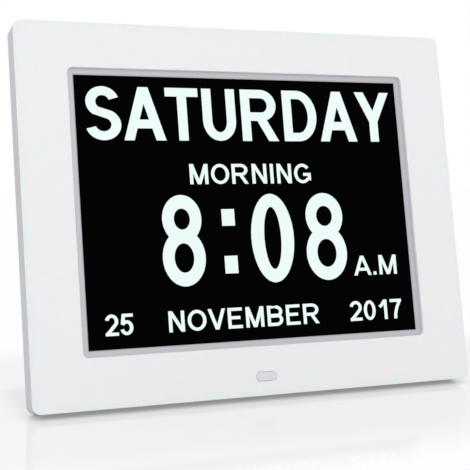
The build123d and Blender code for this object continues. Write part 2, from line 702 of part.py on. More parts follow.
# Left and right are as the user sees them from behind the clock.
key_places = {
    "power_key": (key_board_x - KEY_ROW_PITCH, KEY_ROW_UP),
    "menu_key": (key_board_x, KEY_ROW_UP),
    "exit_key": (key_board_x + KEY_ROW_PITCH, KEY_ROW_UP),
    "up_key": (key_board_x, KEY_PAD_UP + KEY_PITCH),
    "down_key": (key_board_x, KEY_PAD_UP - KEY_PITCH),
    "right_key": (key_board_x - KEY_PITCH, KEY_PAD_UP),
    "left_key": (key_board_x + KEY_PITCH, KEY_PAD_UP),
}


def board_holes(x, up, width, height):
    """Places of the four fixing holes of a circuit board."""
    corners = mirrored(width / 2 - BOARD_HOLE_INSET, height / 2 - BOARD_HOLE_INSET)
    return [(x + dx, up + du) for dx, du in corners]


# Middles of the sockets, as depth and up; the card socket lies just above the lower bosses.
boss_top = -MAIN_BOARD_HEIGHT / 2 + BOARD_HOLE_INSET + BOSS_DIAMETER / 2
jack_up = MAIN_BOARD_HEIGHT / 2 - JACK_BELOW_EDGE
card_up = boss_top + CARD_BOSS_GAP + CARD_WIDTH / 2
jack_axis = (main_board_back + JACK_HEIGHT / 2, jack_up)
stick_axis = (main_board_back + STICK_HEIGHT / 2, STICK_UP)
card_axis = (main_board_back + CARD_HEIGHT / 2, card_up)

main_board_holes = board_holes(main_board_x, 0, MAIN_BOARD_WIDTH, MAIN_BOARD_HEIGHT)
key_board_holes = board_holes(key_board_x, KEY_BOARD_UP, KEY_BOARD_WIDTH, KEY_BOARD_HEIGHT)


def housing_section(inset, draft):
    """Rounded outline of the raised housing, inset by a wall and narrowed by its draft."""
    width = housing_width - 2 * (inset + draft)
    height = housing_height - 2 * (inset + draft)
    RectangleRounded(width, height, HOUSING_CORNER - inset)


# Hollow of the housing, without the tub round the pocket that takes the folded leg
with BuildPart() as housing_hollow:
    with BuildSketch(panel(cover_front)):
        housing_section(COVER_THICKNESS, 0)
    with BuildSketch(panel(housing_inner)):
        housing_section(COVER_THICKNESS, HOUSING_DRAFT)
    loft()
    with BuildSketch(panel(housing_depth, up=tub_top - half_height)):
        Rectangle(tub_width, case_height)
    extrude(amount=housing_depth - tub_front, mode=Mode.SUBTRACT)

with BuildPart() as rear_cover:
    with BuildSketch(panel(cover_back)):
        RectangleRounded(cover_width, cover_height, cover_corner - COVER_GAP)
    extrude(amount=COVER_THICKNESS)
    with BuildSketch(panel(cover_back)):
        housing_section(0, 0)
    with BuildSketch(panel(housing_depth)):
        housing_section(0, HOUSING_DRAFT)
    loft()
    fillet(rearmost(rear_cover).edges(), HOUSING_EDGE)
    add(housing_hollow.part, mode=Mode.SUBTRACT)
    # pocket of the leg, open at the bottom
    with BuildSketch(panel(housing_depth, up=pocket_top - half_height)):
        Rectangle(pocket_width, case_height)
    extrude(amount=housing_depth - pocket_floor, mode=Mode.SUBTRACT)
    with BuildSketch(side(-tub_width / 2)):
        with Locations((hinge_depth, HINGE_UP)):
            Circle(PIN_DIAMETER / 2 + PIN_SEAT_GAP)
    extrude(amount=tub_width, mode=Mode.SUBTRACT)
    # bosses of the circuit boards and the rim that centres the speaker
    with BuildSketch(panel(housing_inner)):
        with Locations(*main_board_holes):
            Circle(BOSS_DIAMETER / 2)
    extrude(amount=housing_inner - main_board_back)
    with BuildSketch(panel(housing_inner)):
        with Locations(*key_board_holes):
            Circle(BOSS_DIAMETER / 2)
    extrude(amount=housing_inner - key_board_back)
    with BuildSketch(panel(housing_inner, key_board_x, SPEAKER_UP)):
        Circle(SPEAKER_DIAMETER / 2 + SPEAKER_GAP + RING_WALL)
        Circle(SPEAKER_DIAMETER / 2 + SPEAKER_GAP, mode=Mode.SUBTRACT)
    extrude(amount=SPEAKER_RIM + RING_EXTRA)
    # pilot holes in the bosses
    with BuildSketch(panel(main_board_back)):
        with Locations(*main_board_holes):
            Circle(BOARD_SCREW[0] + THREAD_GAP)
    extrude(amount=-(BOARD_SCREW[3] - BOARD_THICKNESS + THREAD_GAP), mode=Mode.SUBTRACT)
    with BuildSketch(panel(key_board_back)):
        with Locations(*key_board_holes):
            Circle(BOARD_SCREW[0] + THREAD_GAP)
    extrude(amount=-(BOARD_SCREW[3] - BOARD_THICKNESS + THREAD_GAP), mode=Mode.SUBTRACT)
    # countersunk holes of the cover screws
    with Locations([rear(cover_back, x, up) for x, up in cover_screw_places]):
        CounterSinkHole(
            radius=COVER_SCREW[0] + HOLE_GAP,
            counter_sink_radius=COVER_SCREW[1] + THREAD_GAP,
            depth=COVER_THICKNESS,
            counter_sink_angle=90,
        )
    # holes of the keys
    with BuildSketch(panel(housing_depth)):
        with Locations(*key_places.values()):
            Circle(KEY_DIAMETER / 2 + KEY_GAP)
    extrude(amount=COVER_THICKNESS, mode=Mode.SUBTRACT)
    # keyholes for hanging on two wall screws
    with BuildSketch(panel(housing_depth, up=KEYHOLE_UP)):
        with GridLocations(KEYHOLE_SPACING, 0, 2, 1):
            Circle(KEYHOLE_HEAD / 2)
            with Locations((0, KEYHOLE_TRAVEL / 2)):
                SlotOverall(KEYHOLE_TRAVEL + KEYHOLE_SLOT, KEYHOLE_SLOT, rotation=90)
    extrude(amount=COVER_THICKNESS, mode=Mode.SUBTRACT)
    # speaker grille: rings of round holes
    with BuildSketch(panel(housing_depth, key_board_x, SPEAKER_UP)):
        Circle(GRILLE_HOLE / 2)
        for ring in range(1, GRILLE_RINGS + 1):
            with PolarLocations(GRILLE_PITCH * ring, 6 * ring):
                Circle(GRILLE_HOLE / 2)
    extrude(amount=COVER_THICKNESS, mode=Mode.SUBTRACT)
    # cooling slots over the main board, and the bare recess of a rating label
    with BuildSketch(panel(housing_depth, main_board_x, VENT_UP)):
        with GridLocations(0, VENT_PITCH, 1, VENT_COUNT):
            SlotOverall(VENT_WIDTH, VENT_HEIGHT)
    extrude(amount=COVER_THICKNESS, mode=Mode.SUBTRACT)
    with BuildSketch(panel(housing_depth, main_board_x, LABEL_UP)):
        RectangleRounded(LABEL_WIDTH, LABEL_HEIGHT, LABEL_CORNER)
    extrude(amount=LABEL_DEPTH, mode=Mode.SUBTRACT)
    # mouths of the power, memory stick and memory card sockets
    with BuildSketch(side(housing_width / 2)):
        with Locations(jack_axis):
            Circle(JACK_HEIGHT / 2 + PORT_MARGIN)
        with Locations(stick_axis):
            Rectangle(STICK_HEIGHT + 2 * PORT_MARGIN, STICK_WIDTH + 2 * PORT_MARGIN)
        with Locations(card_axis):
            Rectangle(CARD_HEIGHT + 2 * PORT_MARGIN, CARD_WIDTH + 2 * PORT_MARGIN)
    extrude(amount=-(HOUSING_DRAFT + 2 * COVER_THICKNESS), mode=Mode.SUBTRACT)

# ---------------------------------------------------------------- main board and what it carries
with BuildPart() as main_board:
    with BuildSketch(panel(main_board_back)):
        with Locations((main_board_x, 0)):
            RectangleRounded(MAIN_BOARD_WIDTH, MAIN_BOARD_HEIGHT, BOARD_CORNER)
        with Locations(*main_board_holes):
            Circle(BOARD_SCREW[0] + HOLE_GAP, mode=Mode.SUBTRACT)
    extrude(amount=BOARD_THICKNESS)


def on_board(height, place):
    """Plane at the top of a piece of a given height that stands at a place on the main board."""
    return panel(main_board_back + height, main_board_x + place[0], place[1])


def below_edge(place):
    """Place on the main board whose height is given from the upper edge of the board."""
    return (place[0], MAIN_BOARD_HEIGHT / 2 - place[1])


lead_span = PROCESSOR_SIZE + 2 * LEAD_REACH
with BuildPart() as processor:
    with BuildSketch(on_board(PROCESSOR_HEIGHT, PROCESSOR_PLACE)):
        Rectangle(PROCESSOR_SIZE, PROCESSOR_SIZE)
    extrude(amount=PROCESSOR_HEIGHT)
    with BuildSketch(on_board(LEAD_HEIGHT, PROCESSOR_PLACE)):
        with GridLocations(LEAD_PITCH, 0, LEAD_COUNT, 1):
            Rectangle(LEAD_WIDTH, lead_span)
        with GridLocations(0, LEAD_PITCH, 1, LEAD_COUNT):
            Rectangle(lead_span, LEAD_WIDTH)
    extrude(amount=LEAD_HEIGHT)

with BuildPart() as memory_chips:
    with BuildSketch(on_board(MEMORY_SIZE[2], MEMORY_PLACE)):
        with GridLocations(MEMORY_PITCH, 0, 2, 1):
            Rectangle(MEMORY_SIZE[0], MEMORY_SIZE[1])
    extrude(amount=MEMORY_SIZE[2])

with BuildPart() as capacitors:
    with BuildSketch(on_board(CAPACITOR_HEIGHT, below_edge(CAPACITOR_PLACE))):
        with GridLocations(CAPACITOR_PITCH, 0, CAPACITOR_COUNT, 1):
            Circle(CAPACITOR_DIAMETER / 2)
    extrude(amount=CAPACITOR_HEIGHT)

with BuildPart() as power_inductor:
    with BuildSketch(on_board(INDUCTOR_HEIGHT, below_edge(INDUCTOR_PLACE))):
        RectangleRounded(INDUCTOR_SIZE, INDUCTOR_SIZE, INDUCTOR_CORNER)
    extrude(amount=INDUCTOR_HEIGHT)

with BuildPart() as clock_crystal:
    with BuildSketch(on_board(CRYSTAL_SIZE[2], CRYSTAL_PLACE)):
        SlotOverall(CRYSTAL_SIZE[0], CRYSTAL_SIZE[1])
    extrude(amount=CRYSTAL_SIZE[2])
    fillet(rearmost(clock_crystal).edges(), CRYSTAL_EDGE)

cell_top = HOLDER_FLOOR + CELL_THICKNESS
cell_place = (CELL_PLACE[0], CELL_PLACE[1] - MAIN_BOARD_HEIGHT / 2)
holder_height = cell_top + HOLDER_RIM
pocket_radius = CELL_DIAMETER / 2 + CELL_GAP
with BuildPart() as cell_holder:
    with BuildSketch(on_board(holder_height, cell_place)):
        Circle(pocket_radius + HOLDER_WALL)
    extrude(amount=holder_height)
    with BuildSketch(on_board(holder_height, cell_place)):
        Circle(pocket_radius)
    extrude(amount=holder_height - HOLDER_FLOOR, mode=Mode.SUBTRACT)
    # the retaining spring across the cell
    with BuildSketch(on_board(holder_height, cell_place)):
        Rectangle(2 * pocket_radius + HOLDER_WALL, SPRING_WIDTH)
    extrude(amount=SPRING_THICKNESS)

with BuildPart() as coin_cell:
    with BuildSketch(on_board(cell_top, cell_place)):
        Circle(CELL_DIAMETER / 2)
    extrude(amount=CELL_THICKNESS)
    fillet(rearmost(coin_cell).edges(), CELL_EDGE)

jack_body = JACK_LENGTH - JACK_NOSE
with BuildPart() as power_jack:
    with BuildSketch(panel(main_board_back + JACK_HEIGHT)):
        with Locations((port_mouth_x - JACK_NOSE - jack_body / 2, jack_up)):
            Rectangle(jack_body, JACK_WIDTH)
    extrude(amount=JACK_HEIGHT)
    with BuildSketch(side(port_mouth_x)):
        with Locations(jack_axis):
            Circle(JACK_HEIGHT / 2)
    extrude(amount=-JACK_NOSE)
    with BuildSketch(side(port_mouth_x)):
        with Locations(jack_axis):
            Circle(JACK_BORE / 2)
            Circle(JACK_PIN / 2, mode=Mode.SUBTRACT)
    extrude(amount=-(JACK_LENGTH - JACK_BACK_WALL), mode=Mode.SUBTRACT)

with BuildPart() as stick_socket:
    with BuildSketch(panel(main_board_back + STICK_HEIGHT)):
        with Locations((port_mouth_x - STICK_LENGTH / 2, STICK_UP)):
            Rectangle(STICK_LENGTH, STICK_WIDTH)
    extrude(amount=STICK_HEIGHT)
    with BuildSketch(side(port_mouth_x)):
        with Locations(stick_axis):
            Rectangle(STICK_HEIGHT - 2 * STICK_SHELL, STICK_WIDTH - 2 * STICK_SHELL)
    extrude(amount=-(STICK_LENGTH - STICK_BACK_WALL), mode=Mode.SUBTRACT)
    # contact tongue
    with BuildSketch(side(port_mouth_x - TONGUE_OFFSET)):
        with Locations((stick_axis[0] + TONGUE_OFFSET, STICK_UP)):
            Rectangle(TONGUE_THICKNESS, TONGUE_WIDTH)
    extrude(amount=-(STICK_LENGTH - STICK_BACK_WALL))

with BuildPart() as card_socket:
    with BuildSketch(panel(main_board_back + CARD_HEIGHT)):
        with Locations((port_mouth_x - CARD_LENGTH / 2, card_up)):
            Rectangle(CARD_LENGTH, CARD_WIDTH)
    extrude(amount=CARD_HEIGHT)
    with BuildSketch(side(port_mouth_x)):
        with Locations(card_axis):
            Rectangle(CARD_HEIGHT - 2 * CARD_SHELL, CARD_WIDTH - 2 * CARD_SIDE_WALL)
    extrude(amount=-(CARD_LENGTH - CARD_BACK_WALL), mode=Mode.SUBTRACT)

# ---------------------------------------------------------------- cables and their connectors
flex_start_depth = module_back + LAYER_GAP + FLEX_THICKNESS / 2
flex_end_depth = main_board_front - CONNECTOR_HEIGHT / 2
flex_end_up = -MAIN_BOARD_HEIGHT / 2 + FLEX_FROM_EDGE
ribbon_start_x = key_board_x + KEY_BOARD_WIDTH / 2
ribbon_end_x = main_board_x - MAIN_BOARD_WIDTH / 2 + RIBBON_INSET

with BuildPart() as flex_connector:
    with BuildSketch(panel(main_board_front)):
        with Locations((main_board_x, flex_end_up + CONNECTOR_LENGTH / 2)):
            Rectangle(FLEX_WIDTH + 2 * CONNECTOR_MARGIN, CONNECTOR_LENGTH)
    extrude(amount=CONNECTOR_HEIGHT)

with BuildPart() as display_flex:
    with BuildSketch(side(main_board_x - FLEX_WIDTH / 2)):
        with BuildLine():
            FilletPolyline(
                (flex_start_depth, flex_end_up - FLEX_POINTS[0]),
                (flex_start_depth, flex_end_up - FLEX_POINTS[1]),
                (flex_end_depth, flex_end_up - FLEX_POINTS[2]),
                (flex_end_depth, flex_end_up),
                radius=FLEX_RADIUS,
            )
        trace(line_width=FLEX_THICKNESS)
    extrude(amount=FLEX_WIDTH)

# Both connectors are as thick as the ribbon needs to end in the middle of their edge.
with BuildPart() as ribbon_connectors:
    with BuildSketch(panel(key_board_front)):
        with Locations((ribbon_start_x - CONNECTOR_LENGTH / 2, RIBBON_UP)):
            Rectangle(CONNECTOR_LENGTH, RIBBON_WIDTH + 2 * CONNECTOR_MARGIN)
    extrude(amount=2 * (key_board_front - ribbon_depth))
    with BuildSketch(panel(2 * ribbon_depth - main_board_back)):
        with Locations((ribbon_end_x + CONNECTOR_LENGTH / 2, RIBBON_UP)):
            Rectangle(CONNECTOR_LENGTH, RIBBON_WIDTH + 2 * CONNECTOR_MARGIN)
    extrude(amount=2 * (ribbon_depth - main_board_back))

with BuildPart() as key_ribbon:
    with BuildSketch(panel(ribbon_depth + RIBBON_THICKNESS / 2, up=RIBBON_UP)):
        with Locations(((ribbon_start_x + ribbon_end_x) / 2, 0)):
            Rectangle(ribbon_end_x - ribbon_start_x, RIBBON_WIDTH)
    extrude(amount=RIBBON_THICKNESS)

sensor_plug = (SENSOR_PLUG_X, sensor_up + SENSOR_PLUG_RISE)
board_plug_x = main_board_x - FLEX_WIDTH / 2 - SENSOR_PLUG_FROM_FLEX
board_plug_up = -MAIN_BOARD_HEIGHT / 2 + SENSOR_PLUG_FROM_EDGE
sensor_plug_top = sensor_plug[1] + PLUG_LENGTH / 2
board_plug_end = board_plug_up - PLUG_LENGTH / 2
speaker_plug_up = boss_top + SPEAKER_PLUG_GAP + PLUG_LENGTH / 2
with BuildPart() as wire_connectors:
    # header on the back of the sensor board, socket on the front of the main board
    with BuildSketch(panel(sensor_plug_back)):
        with Locations(sensor_plug):
            Rectangle(CONNECTOR_LENGTH, PLUG_LENGTH)
    extrude(amount=sensor_plug_back - sensor_seat)
    with BuildSketch(panel(main_board_front)):
        with Locations((board_plug_x, board_plug_up)):
            Rectangle(CONNECTOR_LENGTH, PLUG_LENGTH)
    extrude(amount=main_board_front - wire_depth + WIRE_DIAMETER / 2 + PLUG_COVER)
    # socket of the speaker wires
    with BuildSketch(panel(main_board_back + SPEAKER_PLUG_HEIGHT)):
        with Locations((ribbon_end_x, speaker_plug_up)):
            Rectangle(PLUG_LENGTH, PLUG_LENGTH)
    extrude(amount=SPEAKER_PLUG_HEIGHT)

with BuildPart() as sensor_wires:
    with BuildSketch(panel(wire_depth + WIRE_DIAMETER / 2)):
        with BuildLine():
            FilletPolyline(
                (SENSOR_PLUG_X, sensor_plug_top),
                (SENSOR_PLUG_X, sensor_plug_top + SENSOR_WIRE_POINTS[0]),
                (board_plug_x, board_plug_end - SENSOR_WIRE_POINTS[1]),
                (board_plug_x, board_plug_end),
                radius=SENSOR_WIRE_RADIUS,
            )
        trace(line_width=3 * WIRE_DIAMETER)
    extrude(amount=WIRE_DIAMETER)

# ---------------------------------------------------------------- speaker
basket_front = housing_inner - SPEAKER_RIM - SPEAKER_BASKET
magnet_front = basket_front - MAGNET_HEIGHT
with BuildPart() as speaker_basket:
    with BuildSketch(panel(housing_inner, key_board_x, SPEAKER_UP)):
        Circle(SPEAKER_DIAMETER / 2)
    extrude(amount=SPEAKER_RIM)
    with BuildSketch(panel(housing_inner - SPEAKER_RIM, key_board_x, SPEAKER_UP)):
        Circle(SPEAKER_DIAMETER / 2 - SPEAKER_RIM_WIDTH + SPEAKER_WALL)
    with BuildSketch(panel(basket_front, key_board_x, SPEAKER_UP)):
        Circle(MAGNET_DIAMETER / 2 + MAGNET_SEAT)
    loft()
    with BuildSketch(panel(housing_inner, key_board_x, SPEAKER_UP)):
        Circle(SPEAKER_DIAMETER / 2 - SPEAKER_RIM_WIDTH)
    with BuildSketch(panel(basket_front + SPEAKER_WALL, key_board_x, SPEAKER_UP)):
        Circle(MAGNET_DIAMETER / 2 + MAGNET_SEAT - SPEAKER_WALL)
    loft(mode=Mode.SUBTRACT)

with BuildPart() as speaker_cone:
    with BuildSketch(panel(housing_inner - CONE_SINK, key_board_x, SPEAKER_UP)):
        Circle(SPEAKER_DIAMETER / 2 - CONE_INSET)
    with BuildSketch(panel(basket_front + CONE_ABOVE_BASKET, key_board_x, SPEAKER_UP)):
        Circle(MAGNET_DIAMETER / 2)
    loft()
    with BuildSketch(panel(housing_inner - CONE_SINK, key_board_x, SPEAKER_UP)):
        Circle(SPEAKER_DIAMETER / 2 - CONE_INSET - CONE_WALL)
    with BuildSketch(panel(basket_front + CONE_ABOVE_BASKET + CONE_WALL, key_board_x, SPEAKER_UP)):
        Circle(MAGNET_DIAMETER / 2 - CONE_WALL)
    loft(mode=Mode.SUBTRACT)

with BuildPart() as speaker_magnet:
    with BuildSketch(panel(basket_front, key_board_x, SPEAKER_UP)):
        Circle(MAGNET_DIAMETER / 2)
    extrude(amount=MAGNET_HEIGHT)

speaker_terminal_x = key_board_x + MAGNET_DIAMETER / 2
speaker_wire_start = magnet_front + SPEAKER_WIRE_START
with BuildPart() as speaker_wires:
    with BuildSketch(level(speaker_plug_up - WIRE_DIAMETER)):
        with BuildLine():
            FilletPolyline(
                (speaker_terminal_x + SPEAKER_GAP, speaker_wire_start),
                (speaker_terminal_x + SPEAKER_WIRE_POINTS[0], speaker_wire_start),
                (speaker_terminal_x + SPEAKER_WIRE_POINTS[1], speaker_wire_depth),
                (ribbon_end_x - PLUG_LENGTH / 2, speaker_wire_depth),
                radius=SPEAKER_WIRE_RADIUS,
            )
        trace(line_width=WIRE_DIAMETER)
    extrude(amount=2 * WIRE_DIAMETER)

# ---------------------------------------------------------------- key board, switches and key caps
with BuildPart() as key_board:
    with BuildSketch(panel(key_board_back)):
        with Locations((key_board_x, KEY_BOARD_UP)):
            RectangleRounded(KEY_BOARD_WIDTH, KEY_BOARD_HEIGHT, BOARD_CORNER)
        with Locations(*key_board_holes):
            Circle(BOARD_SCREW[0] + HOLE_GAP, mode=Mode.SUBTRACT)
    extrude(amount=BOARD_THICKNESS)

with BuildPart() as key_switches:
    with BuildSketch(panel(key_board_back + SWITCH_HEIGHT)):
        with Locations(*key_places.values()):
            Rectangle(SWITCH_SIZE, SWITCH_SIZE)
    extrude(amount=SWITCH_HEIGHT)
    with BuildSketch(panel(plunger_top)):
        with Locations(*key_places.values()):
            Circle(PLUNGER_DIAMETER / 2)
    extrude(amount=PLUNGER_HEIGHT)


def arrow_mark(turn):
    """Triangle pointing up on the plane it is drawn on, turned by an angle."""
    RegularPolygon(MARK_RADIUS, 3, rotation=90 + turn)


def power_mark():
    """Open ring with a bar in its gap, which is at the bottom of the plane it is drawn on."""
    Circle(MARK_RADIUS)
    Circle(MARK_RADIUS - MARK_LINE, mode=Mode.SUBTRACT)
    with Locations((0, -MARK_RADIUS)):
        Rectangle(3 * MARK_LINE, 2 * MARK_RADIUS, mode=Mode.SUBTRACT)
    with Locations((0, -0.75 * MARK_RADIUS)):
        Rectangle(MARK_LINE, MARK_RADIUS)


def menu_mark():
    """Three level bars."""
    with GridLocations(0, MARK_PITCH, 1, 3):
        Rectangle(2 * MARK_RADIUS, MARK_LINE)


def exit_mark():
    """Diagonal cross."""
    Rectangle(2 * MARK_RADIUS, MARK_LINE, rotation=45)
    Rectangle(2 * MARK_RADIUS, MARK_LINE, rotation=-45)


# The keys' back faces are drawn on planes whose upward direction is turned half round.
key_marks = {
    "power_key": power_mark,
    "menu_key": menu_mark,
    "exit_key": exit_mark,
    "up_key": lambda: arrow_mark(180),
    "down_key": lambda: arrow_mark(0),
    "right_key": lambda: arrow_mark(90),
    "left_key": lambda: arrow_mark(-90),
}


def key_cap(name):
    """Cap with a flange behind the cover, a nub over its switch and a raised mark on its face."""
    x, up = key_places[name]
    with BuildPart() as cap:
        with BuildSketch(panel(housing_depth + KEY_PROUD, x, up)):
            Circle(KEY_DIAMETER / 2)
        extrude(amount=housing_depth + KEY_PROUD - key_flange_front)
        fillet(rearmost(cap).edges(), KEY_EDGE)
        with BuildSketch(panel(key_flange_back, x, up)):
            Circle(KEY_DIAMETER / 2 + KEY_FLANGE)
        extrude(amount=KEY_FLANGE_THICKNESS)
        with BuildSketch(panel(key_flange_front, x, up)):
            Circle(PLUNGER_DIAMETER / 2)
        extrude(amount=KEY_NUB)
        with BuildSketch(rear(housing_depth + KEY_PROUD, x, up)):
            key_marks[name]()
        extrude(amount=MARK_HEIGHT)
    return cap


key_caps = {name: key_cap(name) for name in key_places}

# ---------------------------------------------------------------- stand leg, hinge and foot
leg_bottom = leg_length + PAD_THICKNESS
pad_length = LEG_FOOT_WIDTH - EDGE_ROUND - 2 * PAD_MARGIN
pad_width = (LEG_OUTER - EDGE_ROUND + FOOT_INNER) / cos(leg_tilt) - 2 * PAD_MARGIN
pad_offset = (LEG_OUTER - EDGE_ROUND - FOOT_INNER) / 2 / cos(leg_tilt) - PAD_THICKNESS * tan(leg_tilt)
pad_y = centre_y + foot_y_from_centre + pad_offset
tenon_length = pad_length - 2 * PAD_TENON_WIDTH


def leg_outline(inset=0.0, mode=Mode.ADD):
    """Outline of the leg on its own face: wide at the hinge, narrower at the foot."""
    half_top, half_bottom = LEG_WIDTH / 2 - inset, LEG_FOOT_WIDTH / 2 - inset
    right = [(half_top, heel - inset), (half_bottom, -leg_bottom + inset)]
    left = [(-half_bottom, -leg_bottom + inset), (-half_top, heel - inset)]
    Polygon(*right, *left, align=None, mode=mode)


with BuildPart() as stand_leg:
    with BuildSketch(leg_face(LEG_OUTER)):
        leg_outline()
    extrude(amount=LEG_PLATE)
    outer_face = stand_leg.faces().sort_by(Axis(leg_face(0).origin, leg_face(0).z_dir))[0]
    fillet(outer_face.edges(), EDGE_ROUND)
    # stiffening rim on the inner side, below the hinge block
    with BuildSketch(leg_face(LEG_OUTER - LEG_PLATE)):
        leg_outline()
        leg_outline(LEG_RIB, Mode.SUBTRACT)
        with Locations((0, heel)):
            Rectangle(LEG_WIDTH, 2 * (heel + HEEL_LENGTH), mode=Mode.SUBTRACT)
    extrude(amount=LEG_INNER + LEG_OUTER - LEG_PLATE)
    # hinge block with its square heel
    with BuildSketch(leg_side(-LEG_WIDTH / 2)):
        with Locations(((LEG_OUTER - EDGE_ROUND - BARREL_RADIUS) / 2, (heel - HEEL_LENGTH) / 2)):
            Rectangle(LEG_OUTER - EDGE_ROUND + BARREL_RADIUS, heel + HEEL_LENGTH)
    extrude(amount=LEG_WIDTH)
    with BuildSketch(leg_side(-LEG_WIDTH / 2)):
        Circle(PIN_DIAMETER / 2 + PIN_RUNNING_GAP)
    extrude(amount=LEG_WIDTH, mode=Mode.SUBTRACT)
    # ribs between the rims
    with BuildSketch(leg_face(LEG_OUTER - LEG_PLATE)):
        with Locations((0, (heel - leg_bottom) / 2)):
            Rectangle(LEG_RIB, leg_length - 2 * HEEL_LENGTH)
            with GridLocations(0, leg_length / (CROSS_RIB_COUNT + 1), 1, CROSS_RIB_COUNT):
                Rectangle(LEG_FOOT_WIDTH, LEG_RIB)
    extrude(amount=LEG_INNER + LEG_OUTER - LEG_PLATE)
    # thick foot, cut level above its rubber pad
    with BuildSketch(leg_face(LEG_OUTER - EDGE_ROUND)):
        with Locations((0, -leg_length + FOOT_HEIGHT / 2)):
            Rectangle(LEG_FOOT_WIDTH - EDGE_ROUND, FOOT_HEIGHT + 2 * PAD_THICKNESS)
    extrude(amount=FOOT_INNER + LEG_OUTER - EDGE_ROUND)
    split(bisect_by=Plane.XY.offset(PAD_THICKNESS), keep=Keep.TOP)
    with BuildSketch(Plane(origin=(0, pad_y, PAD_THICKNESS))):
        Rectangle(tenon_length + 2 * PAD_GAP, PAD_TENON_WIDTH + 2 * PAD_GAP)
    extrude(amount=PAD_TENON + PAD_GAP, mode=Mode.SUBTRACT)
    # finger grip on the outer face
    with BuildSketch(leg_face(LEG_OUTER)):
        with Locations((0, -leg_length + FOOT_HEIGHT + GRIP_ABOVE_FOOT)):
            SlotOverall(GRIP_WIDTH, GRIP_HEIGHT)
    extrude(amount=GRIP_DEPTH, mode=Mode.SUBTRACT)

with BuildPart() as foot_pad:
    with BuildSketch(Plane(origin=(0, pad_y, 0))):
        Rectangle(pad_length, pad_width)
    extrude(amount=PAD_THICKNESS)
    fillet(foot_pad.edges().filter_by(Axis.Z), PAD_EDGE)
    with BuildSketch(Plane(origin=(0, pad_y, PAD_THICKNESS))):
        Rectangle(tenon_length, PAD_TENON_WIDTH)
    extrude(amount=PAD_TENON)

washer_gap = (LEG_SIDE_GAP - WASHER_THICKNESS) / 2
with BuildPart() as hinge_washers:
    for start in (-pocket_width / 2 + washer_gap, LEG_WIDTH / 2 + washer_gap):
        with BuildSketch(leg_side(start)):
            Circle(BARREL_RADIUS)
            Circle(PIN_DIAMETER / 2 + PIN_RUNNING_GAP, mode=Mode.SUBTRACT)
        extrude(amount=WASHER_THICKNESS)

with BuildPart() as hinge_pin:
    with BuildSketch(leg_side(-tub_width / 2)):
        Circle(PIN_DIAMETER / 2)
    extrude(amount=tub_width)
    chamfer(hinge_pin.edges().filter_by(GeomType.CIRCLE), PIN_EDGE)

# ---------------------------------------------------------------- fasteners
def screw(size, countersunk):
    """Self-tapping screw with a cross recess, its shank along -Z from the seat of its head."""
    shank, head, height, length = size
    arm_length, arm_width, recess_depth = CROSS_RECESS
    top = 0.0 if countersunk else height
    with BuildPart() as body:
        with BuildSketch(Plane.XZ):
            with BuildLine():
                if countersunk:
                    Polyline((0, 0), (head, 0), (shank, -height), (shank, -length + shank))
                else:
                    Polyline((0, top), (head - height / 2, top), (head, top - height / 2), (head, 0))
                    Polyline((head, 0), (shank, 0), (shank, -length + shank))
                Polyline((shank, -length + shank), (0, -length), (0, top))
            make_face()
        revolve(axis=Axis.Z)
        with BuildSketch(Plane.XY.offset(top)):
            Rectangle(head * arm_length, head * arm_width)
            Rectangle(head * arm_width, head * arm_length)
        extrude(amount=-height * recess_depth, mode=Mode.SUBTRACT)
    return body


cover_screw = screw(COVER_SCREW, countersunk=True)
board_screw = screw(BOARD_SCREW, countersunk=False)

with BuildPart() as cover_screws:
    with Locations([rear(cover_back, x, up) for x, up in cover_screw_places]):
        add(cover_screw.part)

with BuildPart() as clamp_screws:
    with Locations([rear(clamp_seat, x, up) for x, up in clamp_places]):
        add(board_screw.part)

with BuildPart() as board_screws:
    with Locations([panel(main_board_front, x, up) for x, up in main_board_holes]):
        add(board_screw.part)
    with Locations([panel(key_board_front, x, up) for x, up in key_board_holes]):
        add(board_screw.part)
    with Locations([rear(sensor_seat, x, sensor_up + up) for x, up in sensor_posts]):
        add(board_screw.part)

# ---------------------------------------------------------------- export, one file for each piece
pieces = {
    "front_fascia": front_fascia,
    "fascia_tape": fascia_tape,
    "mid_frame": mid_frame,
    "sensor_window": sensor_window,
    "infrared_receiver": infrared_receiver,
    "sensor_board": sensor_board,
    "display_bezel": display_bezel,
    "front_glass": front_glass,
    "rear_glass": rear_glass,
    "driver_chips": driver_chips,
    "mould_frame": mould_frame,
    "optical_films": optical_films,
    "light_guide": light_guide,
    "led_strip": led_strip,
    "reflector_sheet": reflector_sheet,
    "module_back_plate": module_back_plate,
    "display_clamps": display_clamps,
    "clamp_screws": clamp_screws,
    "display_flex": display_flex,
    "flex_connector": flex_connector,
    "main_board": main_board,
    "processor": processor,
    "memory_chips": memory_chips,
    "capacitors": capacitors,
    "power_inductor": power_inductor,
    "clock_crystal": clock_crystal,
    "cell_holder": cell_holder,
    "coin_cell": coin_cell,
    "power_jack": power_jack,
    "stick_socket": stick_socket,
    "card_socket": card_socket,
    "board_screws": board_screws,
    "key_board": key_board,
    "key_switches": key_switches,
    "key_ribbon": key_ribbon,
    "ribbon_connectors": ribbon_connectors,
    "sensor_wires": sensor_wires,
    "wire_connectors": wire_connectors,
    "speaker_basket": speaker_basket,
    "speaker_cone": speaker_cone,
    "speaker_magnet": speaker_magnet,
    "speaker_wires": speaker_wires,
    "rear_cover": rear_cover,
    "cover_screws": cover_screws,
    "stand_leg": stand_leg,
    "hinge_pin": hinge_pin,
    "hinge_washers": hinge_washers,
    "foot_pad": foot_pad,
}
pieces.update(key_caps)

os.makedirs("parts", exist_ok=True)
for name, piece in pieces.items():
    piece.part.label = name
    export_step(piece.part, f"parts/{name}.step")

